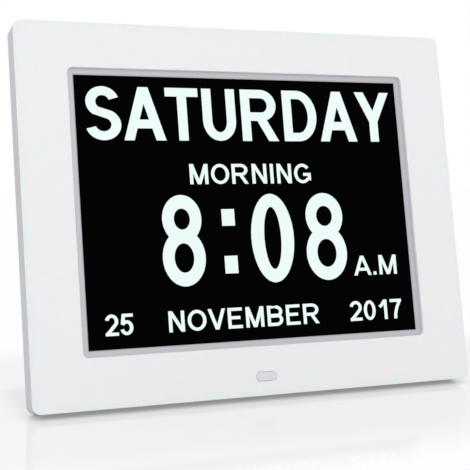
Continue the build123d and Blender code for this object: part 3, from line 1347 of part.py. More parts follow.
print(f"case {case_width:.2f} x {case_height:.2f}, depth {cover_back:.2f} and {housing_depth:.2f}")
print(f"hinge y {hinge_y:.3f} z {hinge_z:.3f}, the leg folds by {degrees(stand_angle):.3f} degrees")
print(f"centre y {centre_y:.3f} z {centre_z:.3f}, pad y {pad_y:.3f}, leg {leg_length:.2f}, heel {heel:.2f}")
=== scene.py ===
"""Desk day clock: the looks of its case, display, keys, boards and folding leg, and a pale studio."""

import json
import math

import bmesh
import bpy
from mathutils import Matrix, Vector
from mathutils.geometry import delaunay_2d_cdt


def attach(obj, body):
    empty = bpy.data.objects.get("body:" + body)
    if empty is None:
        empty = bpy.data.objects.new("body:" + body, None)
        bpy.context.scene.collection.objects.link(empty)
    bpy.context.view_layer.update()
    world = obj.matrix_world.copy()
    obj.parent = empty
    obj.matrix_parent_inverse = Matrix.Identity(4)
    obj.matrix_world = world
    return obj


bl_info = {
    "name": "Desk day clock",
    "version": (1, 0, 0),
    "blender": (4, 5, 0),
    "location": "3D View > Sidebar > Day clock",
    "description": "Dresses a desk clock that spells out the day, the time and the date",
    "category": "Object",
}

MM = 0.001

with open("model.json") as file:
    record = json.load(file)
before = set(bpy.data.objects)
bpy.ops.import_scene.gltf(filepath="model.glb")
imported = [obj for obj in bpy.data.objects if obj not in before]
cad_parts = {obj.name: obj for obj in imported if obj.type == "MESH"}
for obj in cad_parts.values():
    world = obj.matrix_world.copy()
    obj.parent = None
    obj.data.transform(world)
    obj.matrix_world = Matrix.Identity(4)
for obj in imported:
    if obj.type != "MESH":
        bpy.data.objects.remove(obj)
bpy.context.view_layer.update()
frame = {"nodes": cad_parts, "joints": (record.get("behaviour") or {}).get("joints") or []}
nodes = frame["nodes"]
slot_of = {name: node.material_slots[0].name for name, node in nodes.items()}

# The keys press square to the face, so their joint gives the direction in which the face looks.
press = next(joint for joint in frame["joints"] if joint["name"] == "power_press")
FACE_OUT = Vector(press["axis"]).normalized()
ACROSS = Vector((1.0, 0.0, 0.0))
UPWARD = FACE_OUT.cross(ACROSS).normalized()
LEAN = math.atan2(UPWARD.y, UPWARD.z)


# ---------------------------------------------------------------- colours and nodes
def linear(code):
    """Linear colour of an sRGB hex value such as #ebebec."""
    channels = [int(code[i : i + 2], 16) / 255 for i in (1, 3, 5)]
    return tuple(c / 12.92 if c <= 0.04045 else ((c + 0.055) / 1.055) ** 2.4 for c in channels)


def shade(colour, share):
    """A colour as a node socket takes it, lighter or darker by a share."""
    return [min(c * share, 1.0) for c in colour[:3]] + [1.0]


def add_node(tree, kind, settings=None, sockets=None):
    """Adds a node, with its settings and its inputs' values or links."""
    node = tree.nodes.new(kind)
    for key, value in (settings or {}).items():
        setattr(node, key, value)
    for key, value in (sockets or {}).items():
        if isinstance(value, bpy.types.NodeSocket):
            tree.links.new(value, node.inputs[key])
        else:
            node.inputs[key].default_value = value
    return node


def per_mm(size):
    """Scale of a texture whose pattern repeats about every size in mm, on coordinates in metres."""
    return 1.0 / (size * MM)


def start_material(name, shader_values):
    """A material with one shader, and coordinates whose X runs across the face and Z up along it."""
    material = bpy.data.materials.new(name)
    material.use_nodes = True
    tree = material.node_tree
    tree.nodes.clear()
    shader = add_node(tree, "ShaderNodeBsdfPrincipled", sockets=shader_values)
    add_node(tree, "ShaderNodeOutputMaterial", sockets={"Surface": shader.outputs[0]})
    place = add_node(tree, "ShaderNodeTexCoord")
    turned = {"Vector": place.outputs["Object"], "Rotation": (LEAN, 0.0, 0.0)}
    square = add_node(tree, "ShaderNodeMapping", sockets=turned)
    return material, tree, shader, square.outputs[0]


def finish_surface(tree, shader, pattern, colour, mottle, roughness, spread, relief):
    """Lets one pattern from 0 to 1 vary a surface's colour, roughness and height in mm."""
    tones = add_node(tree, "ShaderNodeMix", {"data_type": "RGBA"}, {"Factor": pattern})
    tones.inputs["A"].default_value = shade(colour, 1 - mottle)
    tones.inputs["B"].default_value = shade(colour, 1 + mottle)
    limits = {"Value": pattern, "To Min": roughness - spread, "To Max": roughness + spread}
    gloss = add_node(tree, "ShaderNodeMapRange", sockets=limits)
    height = {"Height": pattern, "Strength": 0.7, "Distance": relief * MM}
    bumps = add_node(tree, "ShaderNodeBump", sockets=height)
    tree.links.new(tones.outputs[2], shader.inputs["Base Color"])
    tree.links.new(gloss.outputs[0], shader.inputs["Roughness"])
    tree.links.new(bumps.outputs[0], shader.inputs["Normal"])


# ---------------------------------------------------------------- finishes
def moulded(name, colour, roughness, grain=0.5, relief=0.004, mottle=0.015, **shader_values):
    """Injection-moulded plastic: an even colour, and the fine grain that the mould leaves on it."""
    material, tree, shader, place = start_material(name, shader_values)
    noise = {"Vector": place, "Scale": per_mm(grain), "Detail": 3.0, "Roughness": 0.6}
    pits = add_node(tree, "ShaderNodeTexNoise", sockets=noise)
    finish_surface(tree, shader, pits.outputs[0], colour, mottle, roughness, 0.04, relief)
    return material


def inked(name, colour, ink, level):
    """Moulded plastic with ink rolled onto its raised marks, which stand farther back than a level."""
    material = moulded(name, colour, 0.45, grain=0.4)
    tree = material.node_tree
    shader = tree.nodes["Principled BSDF"]
    plain = shader.inputs["Base Color"].links[0].from_socket
    turned = tree.nodes["Mapping"].outputs[0]
    depth = add_node(tree, "ShaderNodeSeparateXYZ", sockets={0: turned})
    heights = {0: depth.outputs["Y"], 1: level}
    raised = add_node(tree, "ShaderNodeMath", {"operation": "GREATER_THAN"}, heights)
    layers = {"Factor": raised.outputs[0], "A": plain, "B": shade(ink, 1.0)}
    printed = add_node(tree, "ShaderNodeMix", {"data_type": "RGBA"}, layers)
    tree.links.new(printed.outputs[2], shader.inputs["Base Color"])
    return material


def painted(name, colour, roughness, flake=0.3):
    """Silver-grey paint on plastic: its flakes, drawn coarser to be seen, give a soft metal sheen."""
    material, tree, shader, place = start_material(name, {"Metallic": 0.25, "Coat Weight": 0.1})
    cells = {"Vector": place, "Scale": per_mm(flake)}
    flakes = add_node(tree, "ShaderNodeTexVoronoi", sockets=cells)
    grey = add_node(tree, "ShaderNodeSeparateColor", sockets={0: flakes.outputs["Color"]})
    finish_surface(tree, shader, grey.outputs[0], colour, 0.03, roughness, 0.05, 0.001)
    return material


def rolled(name, colour, roughness, streak=(8.0, 0.25), mottle=0.06, relief=0.002):
    """Sheet or plated metal: faint streaks along its length, left by rolling or drawing."""
    material, tree, shader, place = start_material(name, {"Metallic": 1.0})
    stretch = (1.0 / streak[0], 1.0 / streak[1], 1.0 / streak[1])
    long_way = add_node(tree, "ShaderNodeMapping", sockets={"Vector": place, "Scale": stretch})
    noise = {"Vector": long_way.outputs[0], "Scale": per_mm(1.0), "Detail": 4.0}
    streaks = add_node(tree, "ShaderNodeTexNoise", sockets=noise)
    finish_surface(tree, shader, streaks.outputs[0], colour, mottle, roughness, 0.08, relief)
    return material


def zinc_plate(name, colour, spangle=5.0):
    """Zinc-plated sheet: flat crystals a few millimetres wide, each with its own shade of grey."""
    material, tree, shader, place = start_material(name, {"Metallic": 1.0})
    cells = {"Vector": place, "Scale": per_mm(spangle)}
    crystals = add_node(tree, "ShaderNodeTexVoronoi", sockets=cells)
    grey = add_node(tree, "ShaderNodeSeparateColor", sockets={0: crystals.outputs["Color"]})
    finish_surface(tree, shader, grey.outputs[0], colour, 0.1, 0.36, 0.07, 0.001)
    return material


def display_glass(name, colour):
    """Hard-coated display glass: nearly black when unlit, with a haze that softens reflections."""
    material, tree, shader, place = start_material(name, {"Specular IOR Level": 0.0})
    noise = {"Vector": place, "Scale": per_mm(0.6), "Detail": 2.0}
    haze = add_node(tree, "ShaderNodeTexNoise", sockets=noise)
    finish_surface(tree, shader, haze.outputs[0], colour, 0.2, 0.3, 0.05, 0.0005)
    return material


def board_mask(name, colour):
    """Solder mask on glass fibre: glossy green, lighter over the copper tracks that run under it."""
    material, tree, shader, place = start_material(name, {"Coat Weight": 0.4, "Coat Roughness": 0.15})
    areas = {"Vector": place, "Scale": per_mm(7.0)}
    cells = add_node(tree, "ShaderNodeTexVoronoi", {"distance": "CHEBYCHEV"}, areas)
    shades = add_node(tree, "ShaderNodeSeparateColor", sockets={0: cells.outputs["Color"]})
    choice = add_node(tree, "ShaderNodeMath", {"operation": "GREATER_THAN"}, {0: shades.outputs[0]})
    pitch = {"Vector": place, "Scale": per_mm(4.0)}
    tracks = []
    for direction in ("X", "Z"):
        settings = {"wave_type": "BANDS", "bands_direction": direction, "wave_profile": "TRI"}
        tracks.append(add_node(tree, "ShaderNodeTexWave", settings, pitch).outputs[1])
    either = {"Factor": choice.outputs[0], "A": tracks[0], "B": tracks[1]}
    bundle = add_node(tree, "ShaderNodeMix", {"data_type": "FLOAT"}, either)
    limits = {"Value": bundle.outputs[0], "From Min": 0.45, "From Max": 0.6}
    copper = add_node(tree, "ShaderNodeMapRange", sockets=limits)
    finish_surface(tree, shader, copper.outputs[0], colour, 0.3, 0.35, 0.05, 0.03)
    return material


def track_film(name, colour):
    """Amber polyimide film: clear yellow-brown, with darker copper tracks side by side under it."""
    material, tree, shader, place = start_material(name, {"Coat Weight": 0.5})
    settings = {"wave_type": "BANDS", "bands_direction": "X", "wave_profile": "SIN"}
    bands = add_node(tree, "ShaderNodeTexWave", settings, {"Vector": place, "Scale": per_mm(3.2)})
    finish_surface(tree, shader, bands.outputs[1], colour, 0.35, 0.3, 0.04, 0.02)
    return material


def woven(name, colour, thread=0.7):
    """Plain-woven cloth or pressed fibre: threads over and under each other, drawn to be seen."""
    material, tree, shader, place = start_material(name, {"Sheen Weight": 0.4})
    pitch = {"Vector": place, "Scale": per_mm(thread * 6)}
    crossing = {}
    for i, direction in enumerate(("X", "Z")):
        settings = {"wave_type": "BANDS", "bands_direction": direction}
        crossing[i] = add_node(tree, "ShaderNodeTexWave", settings, pitch).outputs[1]
    weave = add_node(tree, "ShaderNodeMath", {"operation": "MULTIPLY"}, crossing)
    finish_surface(tree, shader, weave.outputs[0], colour, 0.4, 0.9, 0.05, 0.08)
    return material


def lit(name, colour):
    """Lit picture elements: they give an even light, a little less where the backlight falls off."""
    unlit = {"Base Color": (0.0, 0.0, 0.0, 1.0), "Roughness": 0.5, "Specular IOR Level": 0.1}
    material, tree, shader, place = start_material(name, unlit | {"Emission Strength": 1.0})
    falloff = {"Vector": place, "Scale": per_mm(60.0), "Detail": 1.0}
    clouds = add_node(tree, "ShaderNodeTexNoise", sockets=falloff)
    tones = add_node(tree, "ShaderNodeMix", {"data_type": "RGBA"}, {"Factor": clouds.outputs[0]})
    tones.inputs["A"].default_value = shade(colour, 0.97)
    tones.inputs["B"].default_value = shade(colour, 1.03)
    tree.links.new(tones.outputs[2], shader.inputs["Emission Color"])
    return material


def dress(slot, material):
    """Gives a finish to every node of the frame whose material slot has that name."""
    for name, node in nodes.items():
        if slot_of[name] == slot:
            node.material_slots[0].material = material


# ---------------------------------------------------------------- places and meshes
def reach(name, direction):
    """How far a node of the frame reaches along a direction, lowest and highest."""
    along = [corner.co.dot(direction) for corner in nodes[name].data.vertices]
    return min(along), max(along)


def middle(name):
    """Middle of a node of the frame, across and up along the face."""
    return sum(reach(name, ACROSS)) / 2, sum(reach(name, UPWARD)) / 2


def face_matrix(across, up, out, looks=FACE_OUT):
    """Turns a drawing, x right and y up as seen from the side it looks to, into its place."""
    right = UPWARD.cross(looks)
    turn = Matrix((right, UPWARD, looks)).transposed().to_4x4()
    turn.translation = ACROSS * across + UPWARD * up + FACE_OUT * out
    return turn


def finish_mesh(name, draft, matrix):
    """Turns a draft into a mesh in its place, with its faces outward."""
    bmesh.ops.recalc_face_normals(draft, faces=draft.faces)
    draft.transform(matrix)
    mesh = bpy.data.meshes.new(name)
    draft.to_mesh(mesh)
    draft.free()
    return mesh


def place_mesh(mesh, material, body):
    """Makes an object of a finished mesh, and lets it ride on a body of the frame."""
    mesh.materials.clear()
    mesh.materials.append(material)
    piece = bpy.data.objects.new(mesh.name, mesh)
    bpy.context.scene.collection.objects.link(piece)
    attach(piece, body)


# ---------------------------------------------------------------- letters
# A letter is drawn by a flat pen whose stem is the width of its uprights and whose bar is the width
# of its level strokes. Points go from 0 to 1 over the room that the pen's middle has, and what
# passes beyond the letter's box is cut off there, which gives the flat feet of sloping strokes.
# A point of an arc also holds the way to the left of the stroke, so that both of its edges are
# ellipses too.
def arc(x, y, across, up, start, end, step=9.0):
    """Points on part of an ellipse, from one angle to another in degrees."""
    count = max(2, round(abs(end - start) / step))
    turns = [math.radians(start + (end - start) * i / count) for i in range(count + 1)]
    left = 1 if end < start else -1
    return [
        (x + across * math.cos(t), y + up * math.sin(t), left * math.cos(t), left * math.sin(t))
        for t in turns
    ]


STEM = [(0, -0.4), (0, 1.4)]
LAST_STEM = [(1, -0.4), (1, 1.4)]
MIDDLE_STEM = [(0.5, -0.4), (0.5, 1.4)]
RIGHT_SLOPE = [(-0.106, -0.4), (0.621, 1.4)]
LEFT_SLOPE = [(1.106, -0.4), (0.379, 1.4)]
RING = arc(0.5, 0.5, 0.5, 0.5, 0, 360)
LOWER_BOWL = [(0, 0.52), (0.55, 0.52), *arc(0.6, 0.26, 0.4, 0.26, 90, -90), (0, 0)]
UPPER_BOWL = [(0, 1), (0.55, 1), *arc(0.55, 0.74, 0.42, 0.26, 90, -90), (0, 0.48)]
FOOT_BAR = [(-0.3, 0), (1.3, 0)]
HEAD_BAR = [(-0.3, 1), (1.3, 1)]

# Width against height, room at the sides in tenths of the height, and strokes
GLYPHS = {
    "A": (0.97, 0.2, [RIGHT_SLOPE, LEFT_SLOPE, [(0.2, 0.27), (0.8, 0.27)]]),
    "B": (0.84, 0.9, [STEM, LOWER_BOWL, UPPER_BOWL]),
    "C": (0.90, 0.6, [arc(0.5, 0.5, 0.5, 0.5, 38, 322)]),
    "D": (0.84, 0.9, [STEM, [(0, 1), (0.4, 1), *arc(0.42, 0.5, 0.58, 0.5, 90, -90), (0, 0)]]),
    "E": (0.76, 0.9, [STEM, HEAD_BAR, [(0, 0.52), (0.97, 0.52)], FOOT_BAR]),
    "F": (0.70, 0.9, [STEM, HEAD_BAR, [(0, 0.52), (0.9, 0.52)]]),
    "G": (0.93, 0.6, [[*arc(0.5, 0.5, 0.5, 0.5, 38, 318), (1, 0.16), (1, 0.44)],
                      [(0.55, 0.44), (1.3, 0.44)]]),
    "H": (0.80, 1.0, [STEM, LAST_STEM, [(0, 0.52), (1, 0.52)]]),
    "I": (0.00, 1.0, [MIDDLE_STEM]),
    "J": (0.66, 0.4, [[(1, 1.4), (1, 0.3), *arc(0.5, 0.3, 0.5, 0.3, 0, -165)]]),
    "K": (0.90, 0.9, [STEM, [(1.28, 1.4), (0, 0.3)], [(0.3, 0.56), (1.28, -0.4)]]),
    "L": (0.70, 0.9, [STEM, FOOT_BAR]),
    "M": (0.96, 1.0, [STEM, LAST_STEM, [(-0.1, 1.4), (0.62, -0.4)], [(1.1, 1.4), (0.38, -0.4)]]),
    "N": (0.80, 1.0, [STEM, LAST_STEM, [(-0.25, 1.4), (1.25, -0.4)]]),
    "O": (0.96, 0.6, [RING]),
    "P": (0.78, 0.9, [STEM, [(0, 1), (0.55, 1), *arc(0.6, 0.7, 0.4, 0.3, 90, -90), (0, 0.4)]]),
    "Q": (0.96, 0.6, [RING, [(0.6, 0.25), (1.0, -0.1)]]),
    "R": (0.90, 0.9, [STEM, [(0, 1), (0.55, 1), *arc(0.56, 0.735, 0.38, 0.265, 90, -90), (0, 0.47)],
                      [(0.5, 0.47), (1.2, -0.4)]]),
    "S": (0.78, 0.7, [arc(0.5, 0.755, 0.46, 0.245, 18, 232) + arc(0.5, 0.25, 0.5, 0.25, 58, -164)]),
    "T": (0.76, 0.4, [MIDDLE_STEM, HEAD_BAR]),
    "U": (0.78, 1.0, [[(0, 1.4), *arc(0.5, 0.36, 0.5, 0.36, 180, 360), (1, 1.4)]]),
    "V": (0.93, 0.2, [[(-0.106, 1.4), (0.621, -0.4)], [(1.106, 1.4), (0.379, -0.4)]]),
    "W": (1.30, 0.2, [[(-0.055, 1.4), (0.335, -0.4)], [(0.21, -0.4), (0.555, 1.4)],
                      [(0.445, 1.4), (0.79, -0.4)], [(0.665, -0.4), (1.055, 1.4)]]),
    "X": (0.93, 0.2, [[(-0.22, -0.4), (1.22, 1.4)], [(-0.22, 1.4), (1.22, -0.4)]]),
    "Y": (0.92, 0.2, [[(-0.19, 1.4), (0.5, 0.4)], [(1.19, 1.4), (0.5, 0.4)],
                      [(0.5, 0.45), (0.5, -0.4)]]),
    "Z": (0.80, 0.3, [HEAD_BAR, FOOT_BAR, [(0.96, 1.0), (0.04, 0.0)]]),
    "0": (0.66, 0.6, [RING]),
    "1": (0.48, 1.2, [LAST_STEM, [(-0.1, 0.66), (0.3, 0.76), (1.0, 1.08)]]),
    "2": (0.67, 0.5, [[*arc(0.5, 0.7, 0.5, 0.3, 168, -32), (0.55, 0.32), (0.04, 0.02)], FOOT_BAR]),
    "3": (0.66, 0.5, [arc(0.5, 0.75, 0.46, 0.25, 165, -90), arc(0.48, 0.26, 0.52, 0.26, 90, -165)]),
    "4": (0.72, 0.3, [[(0.72, -0.4), (0.72, 1.4)], [(0.72, 1.0), (0.0, 0.3)],
                      [(-0.2, 0.24), (1.3, 0.24)]]),
    "5": (0.67, 0.5, [[(1.3, 1), (0.2, 1), (0.06, 0.5)], arc(0.49, 0.32, 0.5, 0.32, 150, -165)]),
    "6": (0.67, 0.5, [arc(0.5, 0.3, 0.5, 0.3, 0, 360), arc(0.55, 0.5, 0.55, 0.5, 50, 200)]),
    "7": (0.66, 0.6, [HEAD_BAR, [(1.0, 1.0), (0.62, 0.58), (0.42, 0.2), (0.36, -0.3)]]),
    "8": (0.67, 0.5, [arc(0.5, 0.776, 0.444, 0.224, 0, 360), arc(0.5, 0.276, 0.5, 0.276, 0, 360)]),
    "9": (0.67, 0.5, [arc(0.5, 0.7, 0.5, 0.3, 0, 360), arc(0.45, 0.5, 0.55, 0.5, 230, 380)]),
    ".": (0.00, 0.6, [[(0.5, -0.4), (0.5, 0.11)]]),
    ":": (0.00, 0.6, [[(0.5, 0.054), (0.5, 0.283)], [(0.5, 0.675), (0.5, 0.893)]]),
}


def pen_quads(points, stem, bar):
    """Four-cornered pieces of a stroke that a flat pen of that width and height leaves."""
    path = [Vector((x, y)) for x, y, *left in points]
    closed = (path[0] - path[-1]).length < 1e-6
    if closed:
        path.pop()
    count = len(path)
    runs = []
    for i in range(count if closed else count - 1):
        along = (path[(i + 1) % count] - path[i]).normalized()
        side = Vector((-along.y * stem / 2, along.x * bar / 2))
        runs.append((along, side))
    sides = []
    for i in range(count):
        before = runs[i - 1] if closed or i > 0 else runs[0]
        after = runs[i] if closed or i < count - 1 else runs[-1]
        cross = before[0].x * after[0].y - before[0].y * after[0].x
        if len(points[i]) > 2:
            sides.append(Vector((points[i][2] * stem / 2, points[i][3] * bar / 2)))
        elif abs(cross) < 0.05:
            sides.append((before[1] + after[1]) / 2)
        else:
            # The mitre: where the edges of the two runs meet.
            gap = after[1] - before[1]
            far = (gap.x * after[0].y - gap.y * after[0].x) / cross
            sides.append(before[1] + before[0] * far)
    quads = []
    for i in range(len(runs)):
        j = (i + 1) % count
        quads.append([path[i] + sides[i], path[j] + sides[j], path[j] - sides[j], path[i] - sides[i]])
    return quads


def cut_to_box(corners, width, height):
    """What is left of a flat outline inside a box from the origin to a width and a height."""
    for axis, limit, keep in ((0, 0.0, 1), (0, width, -1), (1, 0.0, 1), (1, height, -1)):
        left = []
        for i, corner in enumerate(corners):
            last = corners[i - 1]
            inside = (corner[axis] - limit) * keep
            last_inside = (last[axis] - limit) * keep
            if inside * last_inside < 0:
                left.append(last.lerp(corner, last_inside / (last_inside - inside)))
            if inside >= 0:
                left.append(corner)
        corners = left
    return corners


def stroke_shape(strokes, width, height, stem, bar):
    """Outline pieces of a drawing of strokes in a box of that width and height."""
    pieces = []
    for stroke in strokes:
        points = [
            (stem / 2 + x * (width - stem), bar / 2 + y * (height - bar), *left)
            for x, y, *left in stroke
        ]
        for quad in pen_quads(points, stem, bar):
            piece = cut_to_box(quad, width, height)
            if len(piece) > 2:
                pieces.append(piece)
    return pieces


def text_shapes(text, left, right, height, stem, bar):
    """Shapes of a line of text that fills the room from left to right, each with its place."""
    natural = [max(GLYPHS[letter][0] * height, stem) for letter in text]
    rooms = [GLYPHS[letter][1] * height / 10 for letter in text]
    gaps = [rooms[i] + rooms[i + 1] for i in range(len(text) - 1)]
    stretch = (right - left - stem) / max(sum(natural) + sum(gaps) - stem, stem)
    shapes = []
    x = left
    for i, letter in enumerate(text):
        width = stem if natural[i] <= stem else stem + (natural[i] - stem) * stretch
        if len(text) == 1:
            width = right - left
        shapes.append((x, stroke_shape(GLYPHS[letter][2], width, height, stem, bar)))
        if i < len(gaps):
            x += width + gaps[i] * stretch
    # Letters of one stem don't stretch, so what is left over goes between the letters.
    spare = right - (x + width)
    step = spare / max(len(text) - 1, 1)
    return [(start + step * i, pieces) for i, (start, pieces) in enumerate(shapes)]


def covers(piece, point):
    """Whether a point lies inside an outline that has no hollows."""
    turns = [(b - a).cross(point - a) for a, b in zip(piece, piece[1:] + piece[:1])]
    return min(turns) > -1e-4 or max(turns) < 1e-4


def covered_faces(pieces, points, faces):
    """The triangles whose middle lies inside at least one outline."""
    middles = [sum((points[i] for i in face), Vector((0.0, 0.0))) / 3 for face in faces]
    return [face for face, spot in zip(faces, middles) if any(covers(piece, spot) for piece in pieces)]


def fill_shape(mesh, pieces, shift, thickness):
    """Joins overlapping outlines in mm into one flat shape, with a thickness below its top."""
    corners = []
    outlines = []
    for piece in pieces:
        outlines.append(list(range(len(corners), len(corners) + len(piece))))
        corners.extend(piece)
    points, _, faces, *_ = delaunay_2d_cdt(corners, [], outlines, 0, 1e-3)
    # The rim of the joined shape is every edge that only one of its triangles has.
    uses = {}
    for face in covered_faces(pieces, points, faces):
        for edge in zip(face, face[1:] + face[:1]):
            uses[frozenset(edge)] = uses.get(frozenset(edge), 0) + 1
    rim = [tuple(edge) for edge, count in uses.items() if count == 1]
    kept = sorted({i for edge in rim for i in edge})
    order = {old: new for new, old in enumerate(kept)}
    edges = [(order[a], order[b]) for a, b in rim]
    points, _, faces, *_ = delaunay_2d_cdt([points[i] for i in kept], edges, [], 0, 1e-3)
    low = [mesh.verts.new(((p.x + shift[0]) * MM, (p.y + shift[1]) * MM, -thickness)) for p in points]
    base = [mesh.faces.new([low[i] for i in face]) for face in covered_faces(pieces, points, faces)]
    grown = bmesh.ops.extrude_face_region(mesh, geom=base)
    top = [part for part in grown["geom"] if isinstance(part, bmesh.types.BMVert)]
    bmesh.ops.translate(mesh, vec=(0, 0, thickness), verts=top)


def drawing_mesh(name, shapes, thickness, matrix):
    """A thin solid of flat shapes in mm, each with its pieces and its shift."""
    drawing = bmesh.new()
    for pieces, shift in shapes:
        fill_shape(drawing, pieces, shift, thickness)
    return finish_mesh(name, drawing, matrix)


def lathe_mesh(name, outline, matrix, steps=32):
    """A turned piece: an outline of (distance from the axis, height) spun about the z axis."""
    turned = bmesh.new()
    corners = [turned.verts.new((radius, 0.0, height)) for radius, height in outline]
    edges = [turned.edges.new(pair) for pair in zip(corners, corners[1:])]
    bmesh.ops.spin(
        turned, geom=corners + edges, cent=(0, 0, 0), axis=(0, 0, 1), angle=math.tau, steps=steps
    )
    bmesh.ops.remove_doubles(turned, verts=turned.verts, dist=0.001 * MM)
    mesh = finish_mesh(name, turned, matrix)
    mesh.shade_smooth()
    return mesh


# ---------------------------------------------------------------- rows of small repeated pieces
ROW_SIZES = (
    ("Run", "How far each piece runs"),
    ("Drop", "How far it drops over its run"),
    ("Width", "Width across its run"),
    ("Thickness", "Thickness of the strip"),
)


def row_tree():
    """Geometry nodes that sweep a small strip, and set one at each point, turned as the point says."""
    tree = bpy.data.node_groups.new("Strip at each point", "GeometryNodeTree")
    face = tree.interface
    face.new_socket("Points", in_out="INPUT", socket_type="NodeSocketGeometry")
    for label, meaning in ROW_SIZES:
        socket = face.new_socket(label, in_out="INPUT", socket_type="NodeSocketFloat")
        socket.subtype = "DISTANCE"
        socket.description = meaning
    face.new_socket("Bends", in_out="INPUT", socket_type="NodeSocketInt").min_value = 1
    face.new_socket("Material", in_out="INPUT", socket_type="NodeSocketMaterial")
    face.new_socket("Pieces", in_out="OUTPUT", socket_type="NodeSocketGeometry")
    given = add_node(tree, "NodeGroupInput").outputs
    fall = add_node(tree, "ShaderNodeMath", {"operation": "MULTIPLY"}, {0: given["Drop"], 1: -1.0})
    half = add_node(tree, "ShaderNodeMath", {"operation": "MULTIPLY"}, {0: given["Run"], 1: 0.5})
    near_handle = add_node(tree, "ShaderNodeCombineXYZ", sockets={"X": half.outputs[0]})
    dropped = {"X": half.outputs[0], "Z": fall.outputs[0]}
    far_handle = add_node(tree, "ShaderNodeCombineXYZ", sockets=dropped)
    end = add_node(tree, "ShaderNodeCombineXYZ", sockets=dropped | {"X": given["Run"]})
    route = {
        "Resolution": given["Bends"],
        "Start": (0.0, 0.0, 0.0),
        "Start Handle": near_handle.outputs[0],
        "End Handle": far_handle.outputs[0],
        "End": end.outputs[0],
    }
    path = add_node(tree, "GeometryNodeCurvePrimitiveBezierSegment", sockets=route)
    section = {"Width": given["Thickness"], "Height": given["Width"]}
    profile = add_node(tree, "GeometryNodeCurvePrimitiveQuadrilateral", sockets=section)
    swept = {"Curve": path.outputs[0], "Profile Curve": profile.outputs[0], "Fill Caps": True}
    strip = add_node(tree, "GeometryNodeCurveToMesh", sockets=swept)
    vector = {"data_type": "FLOAT_VECTOR"}
    turn = add_node(tree, "GeometryNodeInputNamedAttribute", vector, {"Name": "turn"})
    rotation = add_node(tree, "FunctionNodeEulerToRotation", sockets={0: turn.outputs[0]})
    spread = {"Points": given["Points"], "Instance": strip.outputs[0], "Rotation": rotation.outputs[0]}
    copies = add_node(tree, "GeometryNodeInstanceOnPoints", sockets=spread)
    real = add_node(tree, "GeometryNodeRealizeInstances", sockets={"Geometry": copies.outputs[0]})
    sharp = {"Geometry": real.outputs[0], "Shade Smooth": False}
    flat = add_node(tree, "GeometryNodeSetShadeSmooth", sockets=sharp)
    dressed = {"Geometry": flat.outputs[0], "Material": given["Material"]}
    final = add_node(tree, "GeometryNodeSetMaterial", sockets=dressed)
    add_node(tree, "NodeGroupOutput", sockets={"Pieces": final.outputs[0]})
    return tree


def grow_rows(name, places, inputs, material, body):
    """Sets a strip at each place, a matrix, and makes of them one plain mesh that rides on a body."""
    tree = bpy.data.node_groups.get("Strip at each point") or row_tree()
    points = bpy.data.meshes.new(name + "_points")
    points.from_pydata([place.translation for place in places], [], [])
    turns = points.attributes.new("turn", "FLOAT_VECTOR", "POINT")
    for entry, place in zip(turns.data, places):
        entry.vector = place.to_euler()
    holder = bpy.data.objects.new(name + "_points", points)
    bpy.context.scene.collection.objects.link(holder)
    rows = holder.modifiers.new("Rows", "NODES")
    rows.node_group = tree
    for item in tree.interface.items_tree:
        if item.in_out == "INPUT" and item.name in inputs:
            rows[item.identifier] = inputs[item.name]
        elif item.in_out == "INPUT" and item.name == "Material":
            rows[item.identifier] = material
    bpy.context.view_layer.update()
    graph = bpy.context.evaluated_depsgraph_get()
    mesh = bpy.data.meshes.new_from_object(holder.evaluated_get(graph))
    mesh.name = name
    bpy.data.objects.remove(holder)
    place_mesh(mesh, material, body)


# ---------------------------------------------------------------- what a user would change
def words(name, description, default):
    """Words on the screen."""
    return bpy.props.StringProperty(name=name, description=description, default=default)


def number(name, description, default, lowest, highest):
    """A whole number on the screen, within its limits."""
    return bpy.props.IntProperty(
        name=name, description=description, default=default, min=lowest, max=highest
    )


def length(name, description, size):
    """A length, whose default is given in mm."""
    return bpy.props.FloatProperty(
        name=name, description=description, default=size * MM, unit="LENGTH", precision=4
    )


def colour_of(name, description, code):
    """A colour, whose default is given as an sRGB hex value."""
    return bpy.props.FloatVectorProperty(
        name=name, description=description, default=linear(code), size=3, subtype="COLOR"
    )


class ClockReading(bpy.types.PropertyGroup):
    """What the screen shows"""

    weekday: words("Weekday", "Top line, in capitals", "SATURDAY")
    day_part: words("Part of the day", "Second line", "MORNING")
    hour: number("Hour", "Hour of the time", 8, 1, 9)
    minute: number("Minute", "Minute of the time", 8, 0, 59)
    half: words("Half", "Half of the day, A.M or P.M", "A.M")
    day: number("Day", "Day of the month", 25, 1, 31)
    month: words("Month", "Name of the month", "NOVEMBER")
    year: number("Year", "Year in four figures", 2017, 1000, 9999)


class ClockSizes(bpy.types.PropertyGroup):
    """Sizes of the letters and of small parts"""

    weekday_height: length("Weekday height", "Height of the top line's letters", 24.9)
    time_height: length("Time height", "Height of the figures of the time", 42.1)
    line_height: length("Line height", "Height of the letters of all other lines", 9.5)
    word_thickness: length("Word thickness", "How far the screen's words stand proud", 0.05)
    lead_pitch: length("Lead pitch", "Distance between the leads of a memory chip", 1.27)
    contact_width: length("Contact width", "Width of a contact in the sockets", 1.0)


class ClockColours(bpy.types.PropertyGroup):
    """Colours of the parts that are seen"""

    face: colour_of("Face", "White plate round the screen", "#ebebec")
    trim: colour_of("Frame", "Frame and side walls", "#bebdc3")
    back: colour_of("Back", "Rear cover and folding leg", "#e2e2e1")
    keys: colour_of("Keys", "Caps of the seven keys", "#c3c4c8")
    marks: colour_of("Marks", "Ink on the marks of the keys", "#55565a")
    letters: colour_of("Letters", "Light of the words on the screen", "#ecfbf8")
    screen: colour_of("Screen", "Glass of the display", "#040405")


